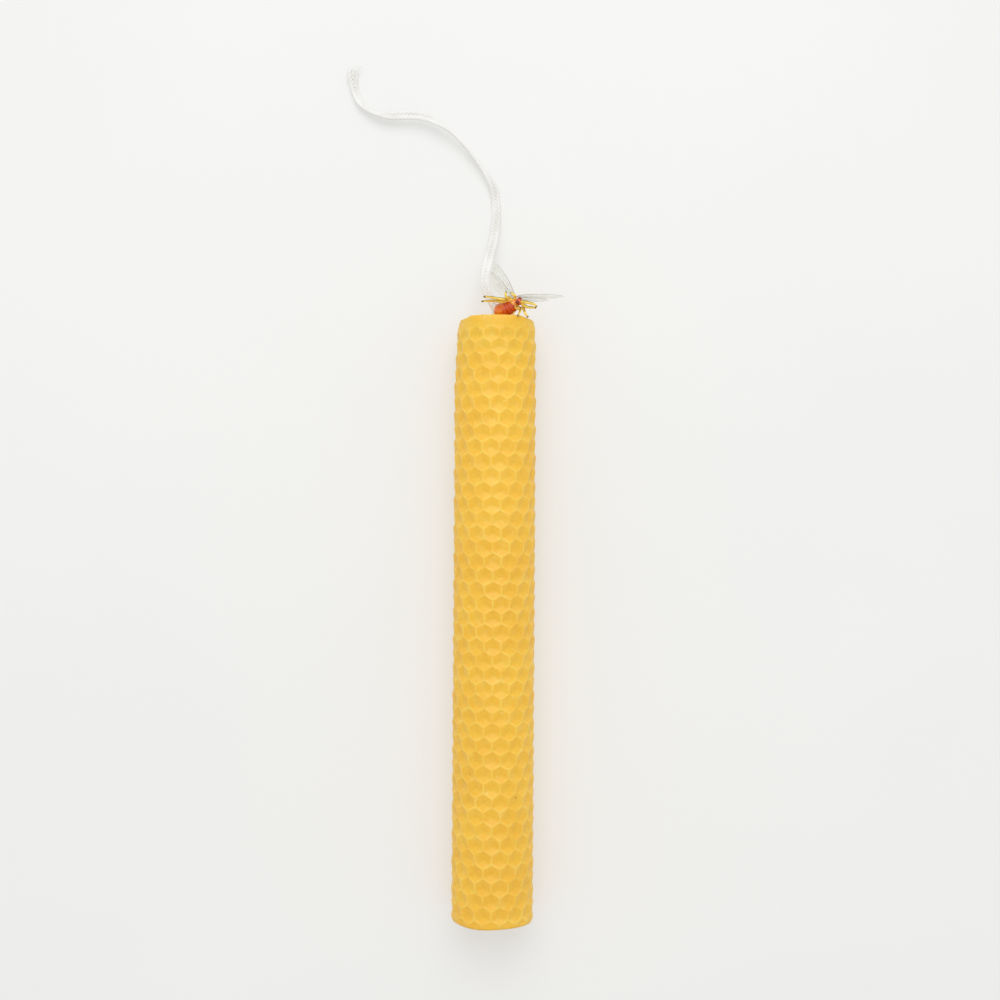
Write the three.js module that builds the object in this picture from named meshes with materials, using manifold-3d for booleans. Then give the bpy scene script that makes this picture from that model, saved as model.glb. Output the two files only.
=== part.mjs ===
// A rolled honeycomb-wax Easter candle, its cotton wick and the bee ornament pinned into its wick end.
// Lengths are in millimetres. The candle lies on its side on the surface Z = 0: +Y runs from the base
// to the wick end, +X is to the right and +Z is up.
import * as THREE from "three";
import { mergeVertices } from "three/addons/utils/BufferGeometryUtils.js";
import Module from "manifold-3d";

const wasm = await Module();
wasm.setup();

// The wax sheet, before it is rolled
const SHEET_WIDTH = 203.2; // 8 inches, which becomes the candle's length
const SHEET_LENGTH = 413; // 16 1/4 inches, which is rolled up
const WAX_THICKNESS = 0.87; // mean thickness of the wax between two turns
const CELL_PITCH = 5.4; // across the flats of a worker-bee cell
const CELL_FLOOR = 0.45; // wax left under the deepest point of a cell
const CELL_CREST = 1.5; // top of the cell walls, above the sheet's back
const WALL_HALF = 0.42; // half the thickness of a cell wall at its foot
const SEAM_THICKNESS = 0.6; // the outer edge, pressed down with the thumb
const LEAST_WAX = 0.22; // where the end of the outer turn is pressed in

// The roll
const TURN_GAP = 0.48;
const TURN_PITCH = WAX_THICKNESS + TURN_GAP;
const PLAIN_STEPS = 24; // steps in each of the hidden turns
const SEAM_ANGLE = THREE.MathUtils.degToRad(-108); // round the axis from +X, so the seam lies underneath
const SEAM_LAND = 1.6; // plain strip along the outer edge
const SEAM_CLEAR = 1.2; // between the seam and the first cells of the turn under it
const TIP_TAPER = 0.7; // how far the wick end is drawn in
const TIP_TAPER_LENGTH = 26;
const RIM_ROUND = 0.35; // rounding of the outer turn at both ends
const RIM_LENGTH = 3;
const RESTING_FLAT = 0.3; // crests pressed flat where the candle lies

// The wick
const CORE_RADIUS = 1.45;
const CORE_SIDES = 12;
const CORE_CLEARANCE = 0.3;
const CORE_PROUD = 1; // the core stands out of the wick end
const WICK_WIDTH = 3.2; // the braid is flat where it lies free
const WICK_DEPTH = 1.3;
const WICK_SIDES = 8;
const WICK_STEPS = 36;
const WICK_LIFT = 0.15; // between the free wick and the surface
const WICK_BASE_INSET = 0.2;
const BUTT_GAP = 0.3; // between the core and the free end that goes on from it

// The bee, placed from the middle of the wick end: X right, Y out of the candle, Z up
const BEE_HEADING = THREE.MathUtils.degToRad(26);
const BEE_RISE = THREE.MathUtils.degToRad(35);
const NECK_HEADING = THREE.MathUtils.degToRad(10); // the head is turned a little towards +X
const NECK_RISE = THREE.MathUtils.degToRad(40);
const ABDOMEN_AT = new THREE.Vector3(2.5, 2.8, 3.9);
const ABDOMEN_LENGTH = 8.4;
const ABDOMEN_RADIUS = 2.15;
const ABDOMEN_RINGS = 5;
const RING_GROOVE = 0.16;
const WAIST_SEAT = 1.7; // how deep the thorax sits in the hollowed front end of the abdomen
const THORAX_RADIUS = 1.8;
const NECK_SEAT = 0.45; // how deep the head sits in the thorax
const HEAD_RADIUS = 1.15;
const EYE_RADIUS = 0.62;
const EYE_INSET = 0.3; // how far an eye's middle lies under the head's surface
const SEAT_GAP = 0.2; // between the bee's pieces
const WIRE_RADIUS = 0.4;
const WIRE_SIDES = 6;
const FILM = 0.2; // thickness of the wing film
const STEM_RADIUS = 0.35;
const STEM_SIDES = 8;
const STEM_DEPTH = 10; // how deep the stem is pushed into the wax
const STEM_CLEARANCE = 0.3;

const beeswax = new THREE.MeshStandardMaterial({ color: 0xf0b840, roughness: 0.55, metalness: 0 });
const cotton = new THREE.MeshStandardMaterial({ color: 0xf4f2ec, roughness: 0.95, metalness: 0 });
const amber = new THREE.MeshStandardMaterial({ color: 0xd9501e, roughness: 0.25, metalness: 0 });
const honey = new THREE.MeshStandardMaterial({ color: 0xe89a35, roughness: 0.3, metalness: 0 });
const garnet = new THREE.MeshStandardMaterial({ color: 0x8e1c10, roughness: 0.15, metalness: 0 });
const goldWire = new THREE.MeshStandardMaterial({ color: 0xdfb23c, roughness: 0.3, metalness: 1 });
const film = new THREE.MeshStandardMaterial({
  color: 0xeef0e8, roughness: 0.2, metalness: 0, transparent: true, opacity: 0.45,
});

// Closed meshes and booleans

function merged(geometry) {
  const bare = geometry.clone();
  bare.deleteAttribute("normal");
  bare.deleteAttribute("uv");
  return mergeVertices(bare, 1e-4);
}

function toSolid(geometry) {
  const g = merged(geometry);
  return new wasm.Manifold(new wasm.Mesh({
    numProp: 3,
    vertProperties: new Float32Array(g.attributes.position.array),
    triVerts: new Uint32Array(g.index.array),
  }));
}

function fromSolid(solid) {
  const { vertProperties, triVerts } = solid.getMesh();
  const geometry = new THREE.BufferGeometry();
  geometry.setAttribute("position", new THREE.BufferAttribute(new Float32Array(vertProperties), 3));
  geometry.setIndex(new THREE.BufferAttribute(new Uint32Array(triVerts), 1));
  geometry.computeVertexNormals();
  return geometry;
}

function cut(geometry, ...tools) {
  return fromSolid(tools.reduce((solid, tool) => solid.subtract(toSolid(tool)), toSolid(geometry)));
}

// The spiral that the sheet's back follows

const BORE_RADIUS = CORE_RADIUS + CORE_CLEARANCE;
const FULL_TURN = 2 * Math.PI;
const GROWTH = TURN_PITCH / FULL_TURN; // of the radius, for each radian
const backRadius = (turned) => BORE_RADIUS + GROWTH * turned;
const middleStart = BORE_RADIUS + WAX_THICKNESS / 2;

// Length of sheet rolled up after that many radians, along the middle of its thickness, and the inverse
const lengthAt = (turned) => middleStart * turned + (GROWTH / 2) * turned ** 2;
const turnedAt = (length) => (Math.sqrt(middleStart ** 2 + 2 * GROWTH * length) - middleStart) / GROWTH;
const TURNED_END = turnedAt(SHEET_LENGTH);

function onRoll(turned, height, y) {
  const angle = SEAM_ANGLE + turned - TURNED_END;
  const radius = backRadius(turned) + height;
  return new THREE.Vector3(radius * Math.cos(angle), y, radius * Math.sin(angle));
}

// How far the outer face is drawn in near the two ends
function drawnIn(y) {
  const fromTip = SHEET_WIDTH - y;
  const taper = TIP_TAPER * (1 - THREE.MathUtils.smoothstep(fromTip, 0, TIP_TAPER_LENGTH));
  const fromEnd = Math.min(y, fromTip, RIM_LENGTH) / RIM_LENGTH;
  return taper + RIM_ROUND * (1 - Math.sqrt(1 - (1 - fromEnd) ** 2));
}

// The honeycomb: cell centres, wall ends at the floor's middle height and peaks form one triangular lattice

const CELL_SIDE = CELL_PITCH / Math.sqrt(3);
const CENTRE = 0;
const WALL_END = 1;
const PEAK = 2;
const RIM = 3;
const FLOOR_HEIGHT = [CELL_FLOOR, (CELL_FLOOR + CELL_CREST) / 2, CELL_CREST];

// One column of lattice points along the candle; every other column is shifted by half a side
function latticeColumn(index) {
  const odd = index % 2;
  const points = [{ y: 0, kind: RIM }];
  const room = CELL_SIDE / 3;
  for (let k = 0; CELL_SIDE * (k + odd / 2) < SHEET_WIDTH - room; k += 1) {
    const y = CELL_SIDE * (k + odd / 2);
    if (y > room) points.push({ y, kind: (k + 2 * odd) % 3 });
  }
  points.push({ y: SHEET_WIDTH, kind: RIM });
  return points;
}

const plainColumn = (index) => latticeColumn(index).map(({ y }) => ({ y, kind: RIM }));
const bareColumn = () => [{ y: 0, kind: RIM }, { y: SHEET_WIDTH, kind: RIM }];

// The columns of the outer face, from the sheet's inner edge to its seam; cells are counted from the seam
function sheetColumns() {
  const lastCells = SHEET_LENGTH - SEAM_LAND;
  const underSeam = lengthAt(TURNED_END - FULL_TURN) + SEAM_CLEAR;
  const count = Math.floor((lastCells - underSeam) / (CELL_PITCH / 2)) + 1;
  const turnedOf = (index) => turnedAt(lastCells - (index * CELL_PITCH) / 2);
  const hiddenEnd = turnedOf(count);
  const hidden = Math.ceil((hiddenEnd / FULL_TURN) * PLAIN_STEPS);
  const columns = [];
  for (let i = 0; i < hidden; i += 1) {
    columns.push({ turned: (hiddenEnd * i) / hidden, thickness: WAX_THICKNESS, points: bareColumn() });
  }
  columns.push({ turned: hiddenEnd, thickness: WAX_THICKNESS, points: plainColumn(count + 1) });
  for (let index = count - 1; index >= 0; index -= 1) {
    columns.push({ turned: turnedOf(index), thickness: WAX_THICKNESS, points: latticeColumn(index + 1) });
  }
  columns.push({ turned: TURNED_END, thickness: SEAM_THICKNESS, points: plainColumn(0) });
  return columns;
}

// Triangles that join two columns of points, always across the shorter diagonal
function zip(a, b, triangles) {
  let i = 0;
  let j = 0;
  while (i < a.length - 1 || j < b.length - 1) {
    const stepA = i < a.length - 1 ? Math.abs(a[i + 1].y - b[j].y) : Infinity;
    const stepB = j < b.length - 1 ? Math.abs(b[j + 1].y - a[i].y) : Infinity;
    if (stepA <= stepB) {
      triangles.push([a[i].id, a[i + 1].id, b[j].id]);
      i += 1;
    } else {
      triangles.push([a[i].id, b[j + 1].id, b[j].id]);
      j += 1;
    }
  }
}

// Splits each wall end that is ringed by cells into three feet, one in each cell, and a crest above them
function raiseWalls(vertices, triangles) {
  const ring = new Map();
  for (const triangle of triangles) {
    for (const id of triangle) {
      if (vertices[id].kind === WALL_END) ring.set(id, [...(ring.get(id) ?? []), triangle]);
    }
  }
  const inCells = ([, around]) => around.length === 6
    && around.flat().every((id) => vertices[id].kind !== RIM);
  const raised = new Map([...ring].filter(inCells).map(([id]) => [id, new Map()]));
  const footIn = (end, centre) => {
    const feet = raised.get(end);
    if (!feet.has(centre)) {
      const from = vertices[end];
      const to = vertices[centre];
      const share = WALL_HALF / CELL_SIDE;
      const foot = {
        turned: THREE.MathUtils.lerp(from.turned, to.turned, share),
        y: THREE.MathUtils.lerp(from.y, to.y, share),
        height: from.height,
      };
      feet.set(centre, vertices.push(foot) - 1);
    }
    return feet.get(centre);
  };
  const made = [];
  for (const triangle of triangles) {
    const end = triangle.find((id) => raised.has(id));
    if (end === undefined) {
      made.push(triangle);
      continue;
    }
    const centre = triangle.find((id) => vertices[id].kind === CENTRE);
    const peak = triangle.find((id) => vertices[id].kind === PEAK);
    const foot = footIn(end, centre);
    const turn = triangle.indexOf(end);
    const centreNext = triangle[(turn + 1) % 3] === centre;
    made.push(triangle.map((id) => (id === end ? foot : id)));
    made.push(centreNext ? [end, foot, peak] : [end, peak, foot]);
  }
  for (const id of raised.keys()) {
    vertices[id].height = Math.max(CELL_CREST - drawnIn(vertices[id].y), LEAST_WAX);
  }
  return made;
}

// The whole sheet as one closed mesh round the Y axis
function rolledSheet() {
  const columns = sheetColumns();
  const vertices = [];
  const add = (vertex) => vertices.push(vertex) - 1;
  for (const column of columns) {
    for (const point of column.points) {
      const level = point.kind === RIM ? column.thickness : FLOOR_HEIGHT[point.kind];
      const pulled = column.points.length > 2 ? drawnIn(point.y) : 0;
      const height = Math.max(level - pulled, LEAST_WAX);
      point.id = add({ ...point, turned: column.turned, height });
    }
    column.back = [0, SHEET_WIDTH].map((y) => ({ y, id: add({ turned: column.turned, y, height: 0 }) }));
  }
  let triangles = [];
  for (let i = 1; i < columns.length; i += 1) zip(columns[i - 1].points, columns[i].points, triangles);
  triangles = raiseWalls(vertices, triangles);
  const quad = (a, b, c, d) => triangles.push([a, b, c], [a, c, d]);
  for (let i = 1; i < columns.length; i += 1) {
    const [near, far] = [columns[i - 1], columns[i]];
    const [nearOuter, farOuter] = [near.points, far.points];
    quad(near.back[0].id, far.back[0].id, far.back[1].id, near.back[1].id);
    quad(near.back[0].id, nearOuter[0].id, farOuter[0].id, far.back[0].id);
    quad(near.back[1].id, far.back[1].id, farOuter.at(-1).id, nearOuter.at(-1).id);
  }
  const edge = ({ back, points }, flip) => {
    const round = [...points, back[1]].map(({ id }) => id);
    for (let i = 1; i < round.length; i += 1) {
      const triangle = [back[0].id, round[i], round[i - 1]];
      triangles.push(flip ? triangle.reverse() : triangle);
    }
  };
  edge(columns[0], false);
  edge(columns.at(-1), true);
  const places = vertices.map((v) => onRoll(v.turned, v.height, v.y));
  const lowest = Math.min(...places.map((p) => p.z)) + RESTING_FLAT;
  for (const place of places) place.z = Math.max(place.z, lowest);
  const geometry = new THREE.BufferGeometry().setFromPoints(places);
  geometry.setIndex(triangles.flat());
  return { geometry, axisHeight: -lowest };
}

// Simple forms

function polygon(sides, halfWidth, halfDepth) {
  const shape = new THREE.Shape();
  for (let i = 0; i < sides; i += 1) {
    const angle = (FULL_TURN * (i + 0.5)) / sides;
    const [x, y] = [halfWidth * Math.cos(angle), halfDepth * Math.sin(angle)];
    if (i === 0) shape.moveTo(x, y);
    else shape.lineTo(x, y);
  }
  shape.closePath();
  return shape;
}

function swept(points, section, steps) {
  const path = new THREE.CatmullRomCurve3(points, false, "centripetal");
  return new THREE.ExtrudeGeometry(section, { steps, extrudePath: path, bevelEnabled: false });
}

// A round bar along Y
function bar(radius, sides, from, to) {
  const geometry = new THREE.CylinderGeometry(radius, radius, to - from, sides);
  return geometry.translate(0, (from + to) / 2, 0);
}

function ball(radius, across, down) {
  return new THREE.SphereGeometry(radius, across, down);
}

const parts = new THREE.Group();

function place(name, geometry, material, parent = parts) {
  const mesh = new THREE.Mesh(geometry, material);
  mesh.name = name;
  parent.add(mesh);
  return mesh;
}

// The bee's body, from the middle of the abdomen forwards

const facing = (heading, rise) => new THREE.Vector3(
  Math.cos(rise) * Math.cos(heading),
  Math.cos(rise) * Math.sin(heading),
  Math.sin(rise),
);
const forward = facing(BEE_HEADING, BEE_RISE);
const WAIST = ABDOMEN_LENGTH / 2 + THORAX_RADIUS - WAIST_SEAT;
const THORAX_AT = ABDOMEN_AT.clone().addScaledVector(forward, WAIST);
const NECK = facing(NECK_HEADING, NECK_RISE).multiplyScalar(THORAX_RADIUS + HEAD_RADIUS - NECK_SEAT);
const HEAD_AT = THORAX_AT.clone().add(NECK);
const onThorax = (x, y, z) => THORAX_AT.clone()
  .addScaledVector(new THREE.Vector3(x, y, z).normalize(), THORAX_RADIUS + SEAT_GAP);
const onHead = (x, y, z) => HEAD_AT.clone()
  .addScaledVector(new THREE.Vector3(x, y, z).normalize(), HEAD_RADIUS + SEAT_GAP);

// An egg with a groove between its rings, its axis along Y and its blunt end at the tail. Its front end is
// hollowed to seat the thorax
function abdomen() {
  const steps = ABDOMEN_RINGS * 4;
  const profile = [new THREE.Vector2(0, -ABDOMEN_LENGTH / 2)];
  for (let i = 1; i < steps; i += 1) {
    const share = i / steps;
    const egg = Math.sin(Math.PI * share ** 0.85) ** 0.6;
    const groove = RING_GROOVE * Math.cos(FULL_TURN * share * ABDOMEN_RINGS) ** 2;
    const radius = Math.max(ABDOMEN_RADIUS * egg - groove * egg, 0.1);
    profile.push(new THREE.Vector2(radius, ABDOMEN_LENGTH * (share - 0.5)));
  }
  profile.push(new THREE.Vector2(0, ABDOMEN_LENGTH / 2));
  const seat = ball(THORAX_RADIUS + SEAT_GAP, 20, 14).translate(0, WAIST, 0);
  return cut(new THREE.LatheGeometry(profile, 20), seat);
}

function eyePlace(direction) {
  return direction.clone().normalize().multiplyScalar(HEAD_RADIUS - EYE_INSET);
}

// A wire from its root, through its bends, to its tip; the root is square to what it leaves
function wire(root, centre, bends) {
  const out = root.clone().sub(centre).normalize();
  const points = [root, root.clone().addScaledVector(out, 2 * WIRE_RADIUS), ...bends];
  return swept(points, polygon(WIRE_SIDES, WIRE_RADIUS, WIRE_RADIUS), 3 * points.length);
}

// A film wing: X runs out to its tip, Y towards its front edge, and its neck starts at the origin
function wing(length, front, rear) {
  const neck = 0.35;
  const shape = new THREE.Shape();
  shape.moveTo(0, -neck);
  shape.lineTo(0, neck);
  shape.bezierCurveTo(0.3 * length, front * 0.9, 0.6 * length, front * 1.25, 0.93 * length, front * 0.45);
  shape.quadraticCurveTo(1.03 * length, 0, 0.9 * length, -0.5 * rear);
  shape.bezierCurveTo(0.65 * length, -1.3 * rear, 0.3 * length, -0.9 * rear, 0, -neck);
  const geometry = new THREE.ExtrudeGeometry(shape, { depth: FILM, bevelEnabled: false, curveSegments: 8 });
  return geometry.translate(0, 0, -FILM / 2);
}

// Turns a wing so that it runs from its root towards its tip, with its front edge the way front points
function aim(mesh, root, tip, front) {
  const x = tip.clone().sub(root).normalize();
  const z = new THREE.Vector3().crossVectors(x, front).normalize();
  const y = new THREE.Vector3().crossVectors(z, x);
  mesh.quaternion.setFromRotationMatrix(new THREE.Matrix4().makeBasis(x, y, z));
  mesh.position.copy(root);
}

const at = (x, y, z) => new THREE.Vector3(x, y, z);

function buildBee(parent) {
  const upright = new THREE.Quaternion().setFromUnitVectors(at(0, 1, 0), forward);
  const tail = place("bee_abdomen", abdomen(), amber, parent);
  tail.quaternion.copy(upright);
  tail.position.copy(ABDOMEN_AT);

  const neckSeat = ball(HEAD_RADIUS + SEAT_GAP, 16, 11).translate(...NECK);
  place("bee_thorax", cut(ball(THORAX_RADIUS, 16, 11), neckSeat), honey, parent).position.copy(THORAX_AT);

  const eyeSides = { right: at(-0.7, -0.3, 0.75), left: at(0.3, 0.85, 0.3) };
  const sockets = Object.values(eyeSides).map((side) => {
    const { x, y, z } = eyePlace(side);
    return ball(EYE_RADIUS + SEAT_GAP, 10, 8).translate(x, y, z);
  });
  place("bee_head", cut(ball(HEAD_RADIUS, 16, 11), ...sockets), amber, parent).position.copy(HEAD_AT);
  for (const [side, direction] of Object.entries(eyeSides)) {
    const eye = place(`bee_eye_${side}`, ball(EYE_RADIUS, 10, 8), garnet, parent);
    eye.position.copy(HEAD_AT).add(eyePlace(direction));
  }

  const legs = {
    hind_right: [onThorax(-0.6, 0.5, 0.65), at(2.3, 5.7, 8.7), at(-0.4, 6.3, 8.6), at(-4.5, 6.6, 7.7)],
    hind_left: [onThorax(-0.75, 0.6, 0.1), at(2.2, 5.7, 6.9), at(-0.8, 5.4, 6.6), at(-5.3, 5.4, 5.9)],
    middle_right: [onThorax(-0.15, 0.72, 0.7), at(3.5, 6.1, 9.3), at(3, 7.1, 9.7), at(3.3, 8, 9.4)],
    middle_left: [onThorax(0.3, 0.95, 0.2), at(6.2, 6.8, 8), at(5.4, 7.5, 8.4), at(4.7, 8.1, 8.4)],
    front_right: [onThorax(0.5, -0.7, 0.6), at(8, 2.6, 9.2), at(7.4, 0.8, 11.6), at(6.5, -0.6, 12.2)],
    front_left: [onThorax(0.8, -0.55, 0.1), at(9.2, 2.8, 7.4), at(9.9, 1.2, 8.4), at(10.5, -0.3, 8.8)],
  };
  for (const [name, [root, ...bends]] of Object.entries(legs)) {
    place(`bee_leg_${name}`, wire(root, THORAX_AT, bends), goldWire, parent);
  }
  const antennae = {
    right: [onHead(0.75, -0.05, 0.65), at(10.6, 4.6, 9.9), at(12.1, 4, 9.8), at(13.3, 3.1, 9.2)],
    left: [onHead(0.9, -0.4, 0.05), at(10.1, 3.4, 7.9), at(11.6, 3, 7.9), at(13.1, 3, 7.8)],
  };
  for (const [name, [root, ...bends]] of Object.entries(antennae)) {
    place(`bee_antenna_${name}`, wire(root, HEAD_AT, bends), goldWire, parent);
  }

  const wings = {
    forewing_right: [onThorax(0.15, 0.95, -0.1), at(-1.8, 18.1, 9.6), at(1, 0.6, 0), [2.6, 1.9]],
    hindwing_right: [onThorax(-0.35, 0.9, -0.35), at(-2.7, 15.1, 7.6), at(1, 0.8, 0), [1.5, 2.4]],
    forewing_left: [onThorax(0.5, 0.85, -0.45), at(23.1, 7.1, 4.9), at(0, 0.12, 1), [1.6, 2.3]],
    hindwing_left: [onThorax(0.35, 0.55, -0.95), at(17.8, 6.1, 2.6), at(0, 0.2, 1), [1.2, 2]],
  };
  for (const [name, [root, tip, front, widths]] of Object.entries(wings)) {
    const length = root.distanceTo(tip);
    aim(place(`bee_${name}`, wing(length, ...widths), film, parent), root, tip, front);
  }

  const stemTop = THORAX_AT.y - THORAX_RADIUS - SEAT_GAP;
  const stem = place("bee_stem", bar(STEM_RADIUS, STEM_SIDES, -STEM_DEPTH, stemTop), goldWire, parent);
  stem.position.set(THORAX_AT.x, 0, THORAX_AT.z);
}

// The free end of the wick, from the middle of the wick end as it leaves the core: chosen by hand
function wickRoute(floor) {
  const start = CORE_PROUD + BUTT_GAP;
  const bed = floor + WICK_DEPTH / 2 + WICK_LIFT;
  return [
    at(0, start, 0), at(-0.15, start + 1.9, 0), at(-1.2, 5.4, 0), at(-2.7, 7.9, -0.2), at(-3.9, 11.1, -0.9),
    at(-3.9, 15, -2.4), at(-3.2, 19.4, -4.6), at(-2.3, 23.7, -7.1), at(-1.4, 27.7, -9.3),
    at(-0.8, 31.6, bed + 1.3), at(-0.4, 35.8, bed + 0.3), at(-0.5, 40.6, bed), at(-1.1, 45.5, bed + 0.1),
    at(-2.8, 49.7, bed + 0.5), at(-6.3, 54.7, bed + 0.8), at(-10.4, 59.8, bed + 0.9),
    at(-14.8, 64.3, bed + 0.9), at(-20, 68, bed + 0.7), at(-25.6, 70.6, bed + 0.2), at(-31, 71.2, bed),
    at(-36.7, 71, bed + 0.2), at(-41.2, 71.6, bed + 0.7), at(-45.3, 73.4, bed + 0.8),
    at(-47.8, 76.2, bed + 0.5), at(-49.6, 80.6, bed + 0.1), at(-50.5, 85, bed), at(-50.6, 87.6, bed + 0.1),
  ];
}

const { geometry: rolled, axisHeight } = rolledSheet();
const stemHole = bar(STEM_RADIUS + STEM_CLEARANCE, STEM_SIDES, -STEM_DEPTH - 1, 1)
  .translate(THORAX_AT.x, SHEET_WIDTH, THORAX_AT.z);
const lying = new THREE.Group();
lying.position.z = axisHeight;
parts.add(lying);
place("wax_sheet", cut(rolled, stemHole), beeswax, lying);
place("wick_core", bar(CORE_RADIUS, CORE_SIDES, WICK_BASE_INSET, SHEET_WIDTH + CORE_PROUD), cotton, lying);

const wickEnd = new THREE.Group();
wickEnd.position.y = SHEET_WIDTH;
lying.add(wickEnd);
const braid = polygon(WICK_SIDES, WICK_DEPTH / 2, WICK_WIDTH / 2);
const tail = place("wick_tail", swept(wickRoute(-axisHeight), braid, WICK_STEPS), cotton, wickEnd);
buildBee(wickEnd);

// The origin is on the surface, under the middle of everything but the free wick
parts.updateMatrixWorld(true);
const outline = new THREE.Box3();
parts.traverse((piece) => {
  if (piece.isMesh && piece !== tail) outline.expandByObject(piece, true);
});
const middle = outline.getCenter(new THREE.Vector3());
parts.position.set(-middle.x, -middle.y, -outline.min.z);

export default parts;
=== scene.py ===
# %% [markdown]
# # A rolled honeycomb candle and its bee
# The real candle is one sheet of beeswax, embossed with the cells of a comb and rolled up round a flat cotton
# braid. A little bee of resin, wire and film is pinned into its wick end. It lies on a white table and is
# photographed from straight above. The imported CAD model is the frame: it says where every piece is, and this
# file only adds what the eye sees.

import math
import random
from functools import partialmethod

import bmesh
import bpy
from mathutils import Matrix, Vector


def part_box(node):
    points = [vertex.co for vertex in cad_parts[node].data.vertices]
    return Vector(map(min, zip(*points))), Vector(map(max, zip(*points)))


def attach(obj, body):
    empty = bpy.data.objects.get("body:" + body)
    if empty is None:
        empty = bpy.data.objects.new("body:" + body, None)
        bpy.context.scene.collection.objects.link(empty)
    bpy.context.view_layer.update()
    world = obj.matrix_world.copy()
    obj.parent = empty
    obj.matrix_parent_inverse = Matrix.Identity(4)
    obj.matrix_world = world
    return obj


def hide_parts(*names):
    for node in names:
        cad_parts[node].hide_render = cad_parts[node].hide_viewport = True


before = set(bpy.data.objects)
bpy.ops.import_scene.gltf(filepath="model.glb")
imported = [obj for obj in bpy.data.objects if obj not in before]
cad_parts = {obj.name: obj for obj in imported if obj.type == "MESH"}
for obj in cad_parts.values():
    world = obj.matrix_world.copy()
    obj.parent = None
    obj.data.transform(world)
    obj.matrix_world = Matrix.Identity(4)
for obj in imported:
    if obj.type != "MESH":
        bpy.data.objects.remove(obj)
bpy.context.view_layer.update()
MM = 0.001


def new_object(name, data):
    made = bpy.data.objects.new(name, data)
    bpy.context.scene.collection.objects.link(made)
    return made


def dress(piece, body, node):
    """Says which body a piece rides on, and hides the CAD node that it stands for."""
    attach(piece, body)
    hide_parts(node)


# %% [markdown]
# Everything is placed from two boxes of the frame. The wick core runs along the candle's axis, so the middle
# of its box is the axis, and the ends of the wax are the ends of the candle. The middle of the wick end is
# the point that the bee and the free wick are measured from.

# %% Find the candle's axis and its two ends
core_low, core_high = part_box("wick_core")
wax_low, wax_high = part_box("wax_sheet")
AXIS_X = (core_low.x + core_high.x) / 2
AXIS_Z = (core_low.z + core_high.z) / 2
BASE_Y, TIP_Y = wax_low.y, wax_high.y
tip_centre = Vector((AXIS_X, TIP_Y, AXIS_Z))
print(f"axis at x {AXIS_X / MM:.2f} mm, {AXIS_Z / MM:.2f} mm high; wax {(TIP_Y - BASE_Y) / MM:.1f} mm long")

# %% [markdown]
# The photograph was taken with the camera looking straight down. The candle lies a little askew in it, so
# the camera is turned by that angle, and the object stays square to the frame's axes.

# %% Camera
CAMERA_HEIGHT = 513.5 * MM
CAMERA_LENS = 53.245
CAMERA_TURN = math.radians(0.344)
CAMERA_ASIDE = Vector((1.5 * MM, -61.2 * MM))

camera = new_object("camera", bpy.data.cameras.new("camera"))
bpy.context.scene.camera = camera
camera.data.lens = CAMERA_LENS
camera.data.clip_start, camera.data.clip_end = 0.01, 10
camera.location = (AXIS_X + CAMERA_ASIDE.x, TIP_Y + CAMERA_ASIDE.y, CAMERA_HEIGHT)
camera.rotation_euler = (0, 0, CAMERA_TURN)
print("camera at", [round(v / MM, 1) for v in camera.location], "mm")

# %% [markdown]
# ## Building node trees in code
# Every tree below is a formula written with nodes. A small class keeps the formulas readable: a Field stands
# for a socket, and adding or multiplying fields adds the Math node that does it.

# %% Helpers for node trees
def wire(tree, sockets, values):
    """Gives each socket its value: another socket is linked, anything else is set, None is left alone."""
    for socket, value in zip(sockets, values):
        value = value.socket if isinstance(value, Field) else value
        if isinstance(value, bpy.types.NodeSocket):
            tree.links.new(value, socket)
        elif value is not None:
            socket.default_value = value


def add_node(tree, kind, *values, named=None, **settings):
    """A new node with its settings made and its inputs wired, in order or by name."""
    made = tree.nodes.new(kind)
    for name, value in settings.items():
        setattr(made, name, value)
    sockets = [s for s in made.inputs if s.enabled]
    wire(tree, sockets, values)
    for name, value in (named or {}).items():
        wire(tree, [next(s for s in sockets if s.name == name)], [value])
    return made


class Field:
    """A number or a vector that varies over the mesh."""

    def __init__(self, tree, socket):
        self.tree, self.socket = tree, socket

    def maths(self, operation, *others):
        made = add_node(self.tree, "ShaderNodeMath", self, *others, operation=operation)
        return Field(self.tree, made.outputs[0])

    __add__ = __radd__ = partialmethod(maths, "ADD")
    __sub__ = partialmethod(maths, "SUBTRACT")
    __mul__ = __rmul__ = partialmethod(maths, "MULTIPLY")
    __truediv__ = partialmethod(maths, "DIVIDE")
    __pow__ = partialmethod(maths, "POWER")
    at_least = partialmethod(maths, "MAXIMUM")
    at_most = partialmethod(maths, "MINIMUM")
    above = partialmethod(maths, "GREATER_THAN")
    below = partialmethod(maths, "LESS_THAN")
    absolute = partialmethod(maths, "ABSOLUTE")
    to_whole = partialmethod(maths, "ROUND")
    sine = partialmethod(maths, "SINE")
    cosine = partialmethod(maths, "COSINE")
    root = partialmethod(maths, "SQRT")

    def __rsub__(self, other):
        return self * -1 + other

    def smooth_step(self, low, high):
        """0 below low, 1 above high and a soft rise between them."""
        made = add_node(
            self.tree, "ShaderNodeMapRange", self, low, high, 0.0, 1.0, interpolation_type="SMOOTHSTEP")
        return Field(self.tree, made.outputs[0])


def split(tree, vector):
    made = add_node(tree, "ShaderNodeSeparateXYZ", vector)
    return [Field(tree, socket) for socket in made.outputs]


def point_parts(tree):
    """The x, y and z of each point."""
    return split(tree, add_node(tree, "GeometryNodeInputPosition").outputs[0])


def joined(tree, *parts):
    return Field(tree, add_node(tree, "ShaderNodeCombineXYZ", *parts).outputs[0])


def vector_maths(tree, operation, *values):
    made = add_node(tree, "ShaderNodeVectorMath", *values, operation=operation)
    return made.outputs["Value" if operation == "DOT_PRODUCT" else "Vector"]


def moved_to(tree, geometry, position):
    return add_node(tree, "GeometryNodeSetPosition", geometry, named={"Position": position}).outputs[0]


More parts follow.
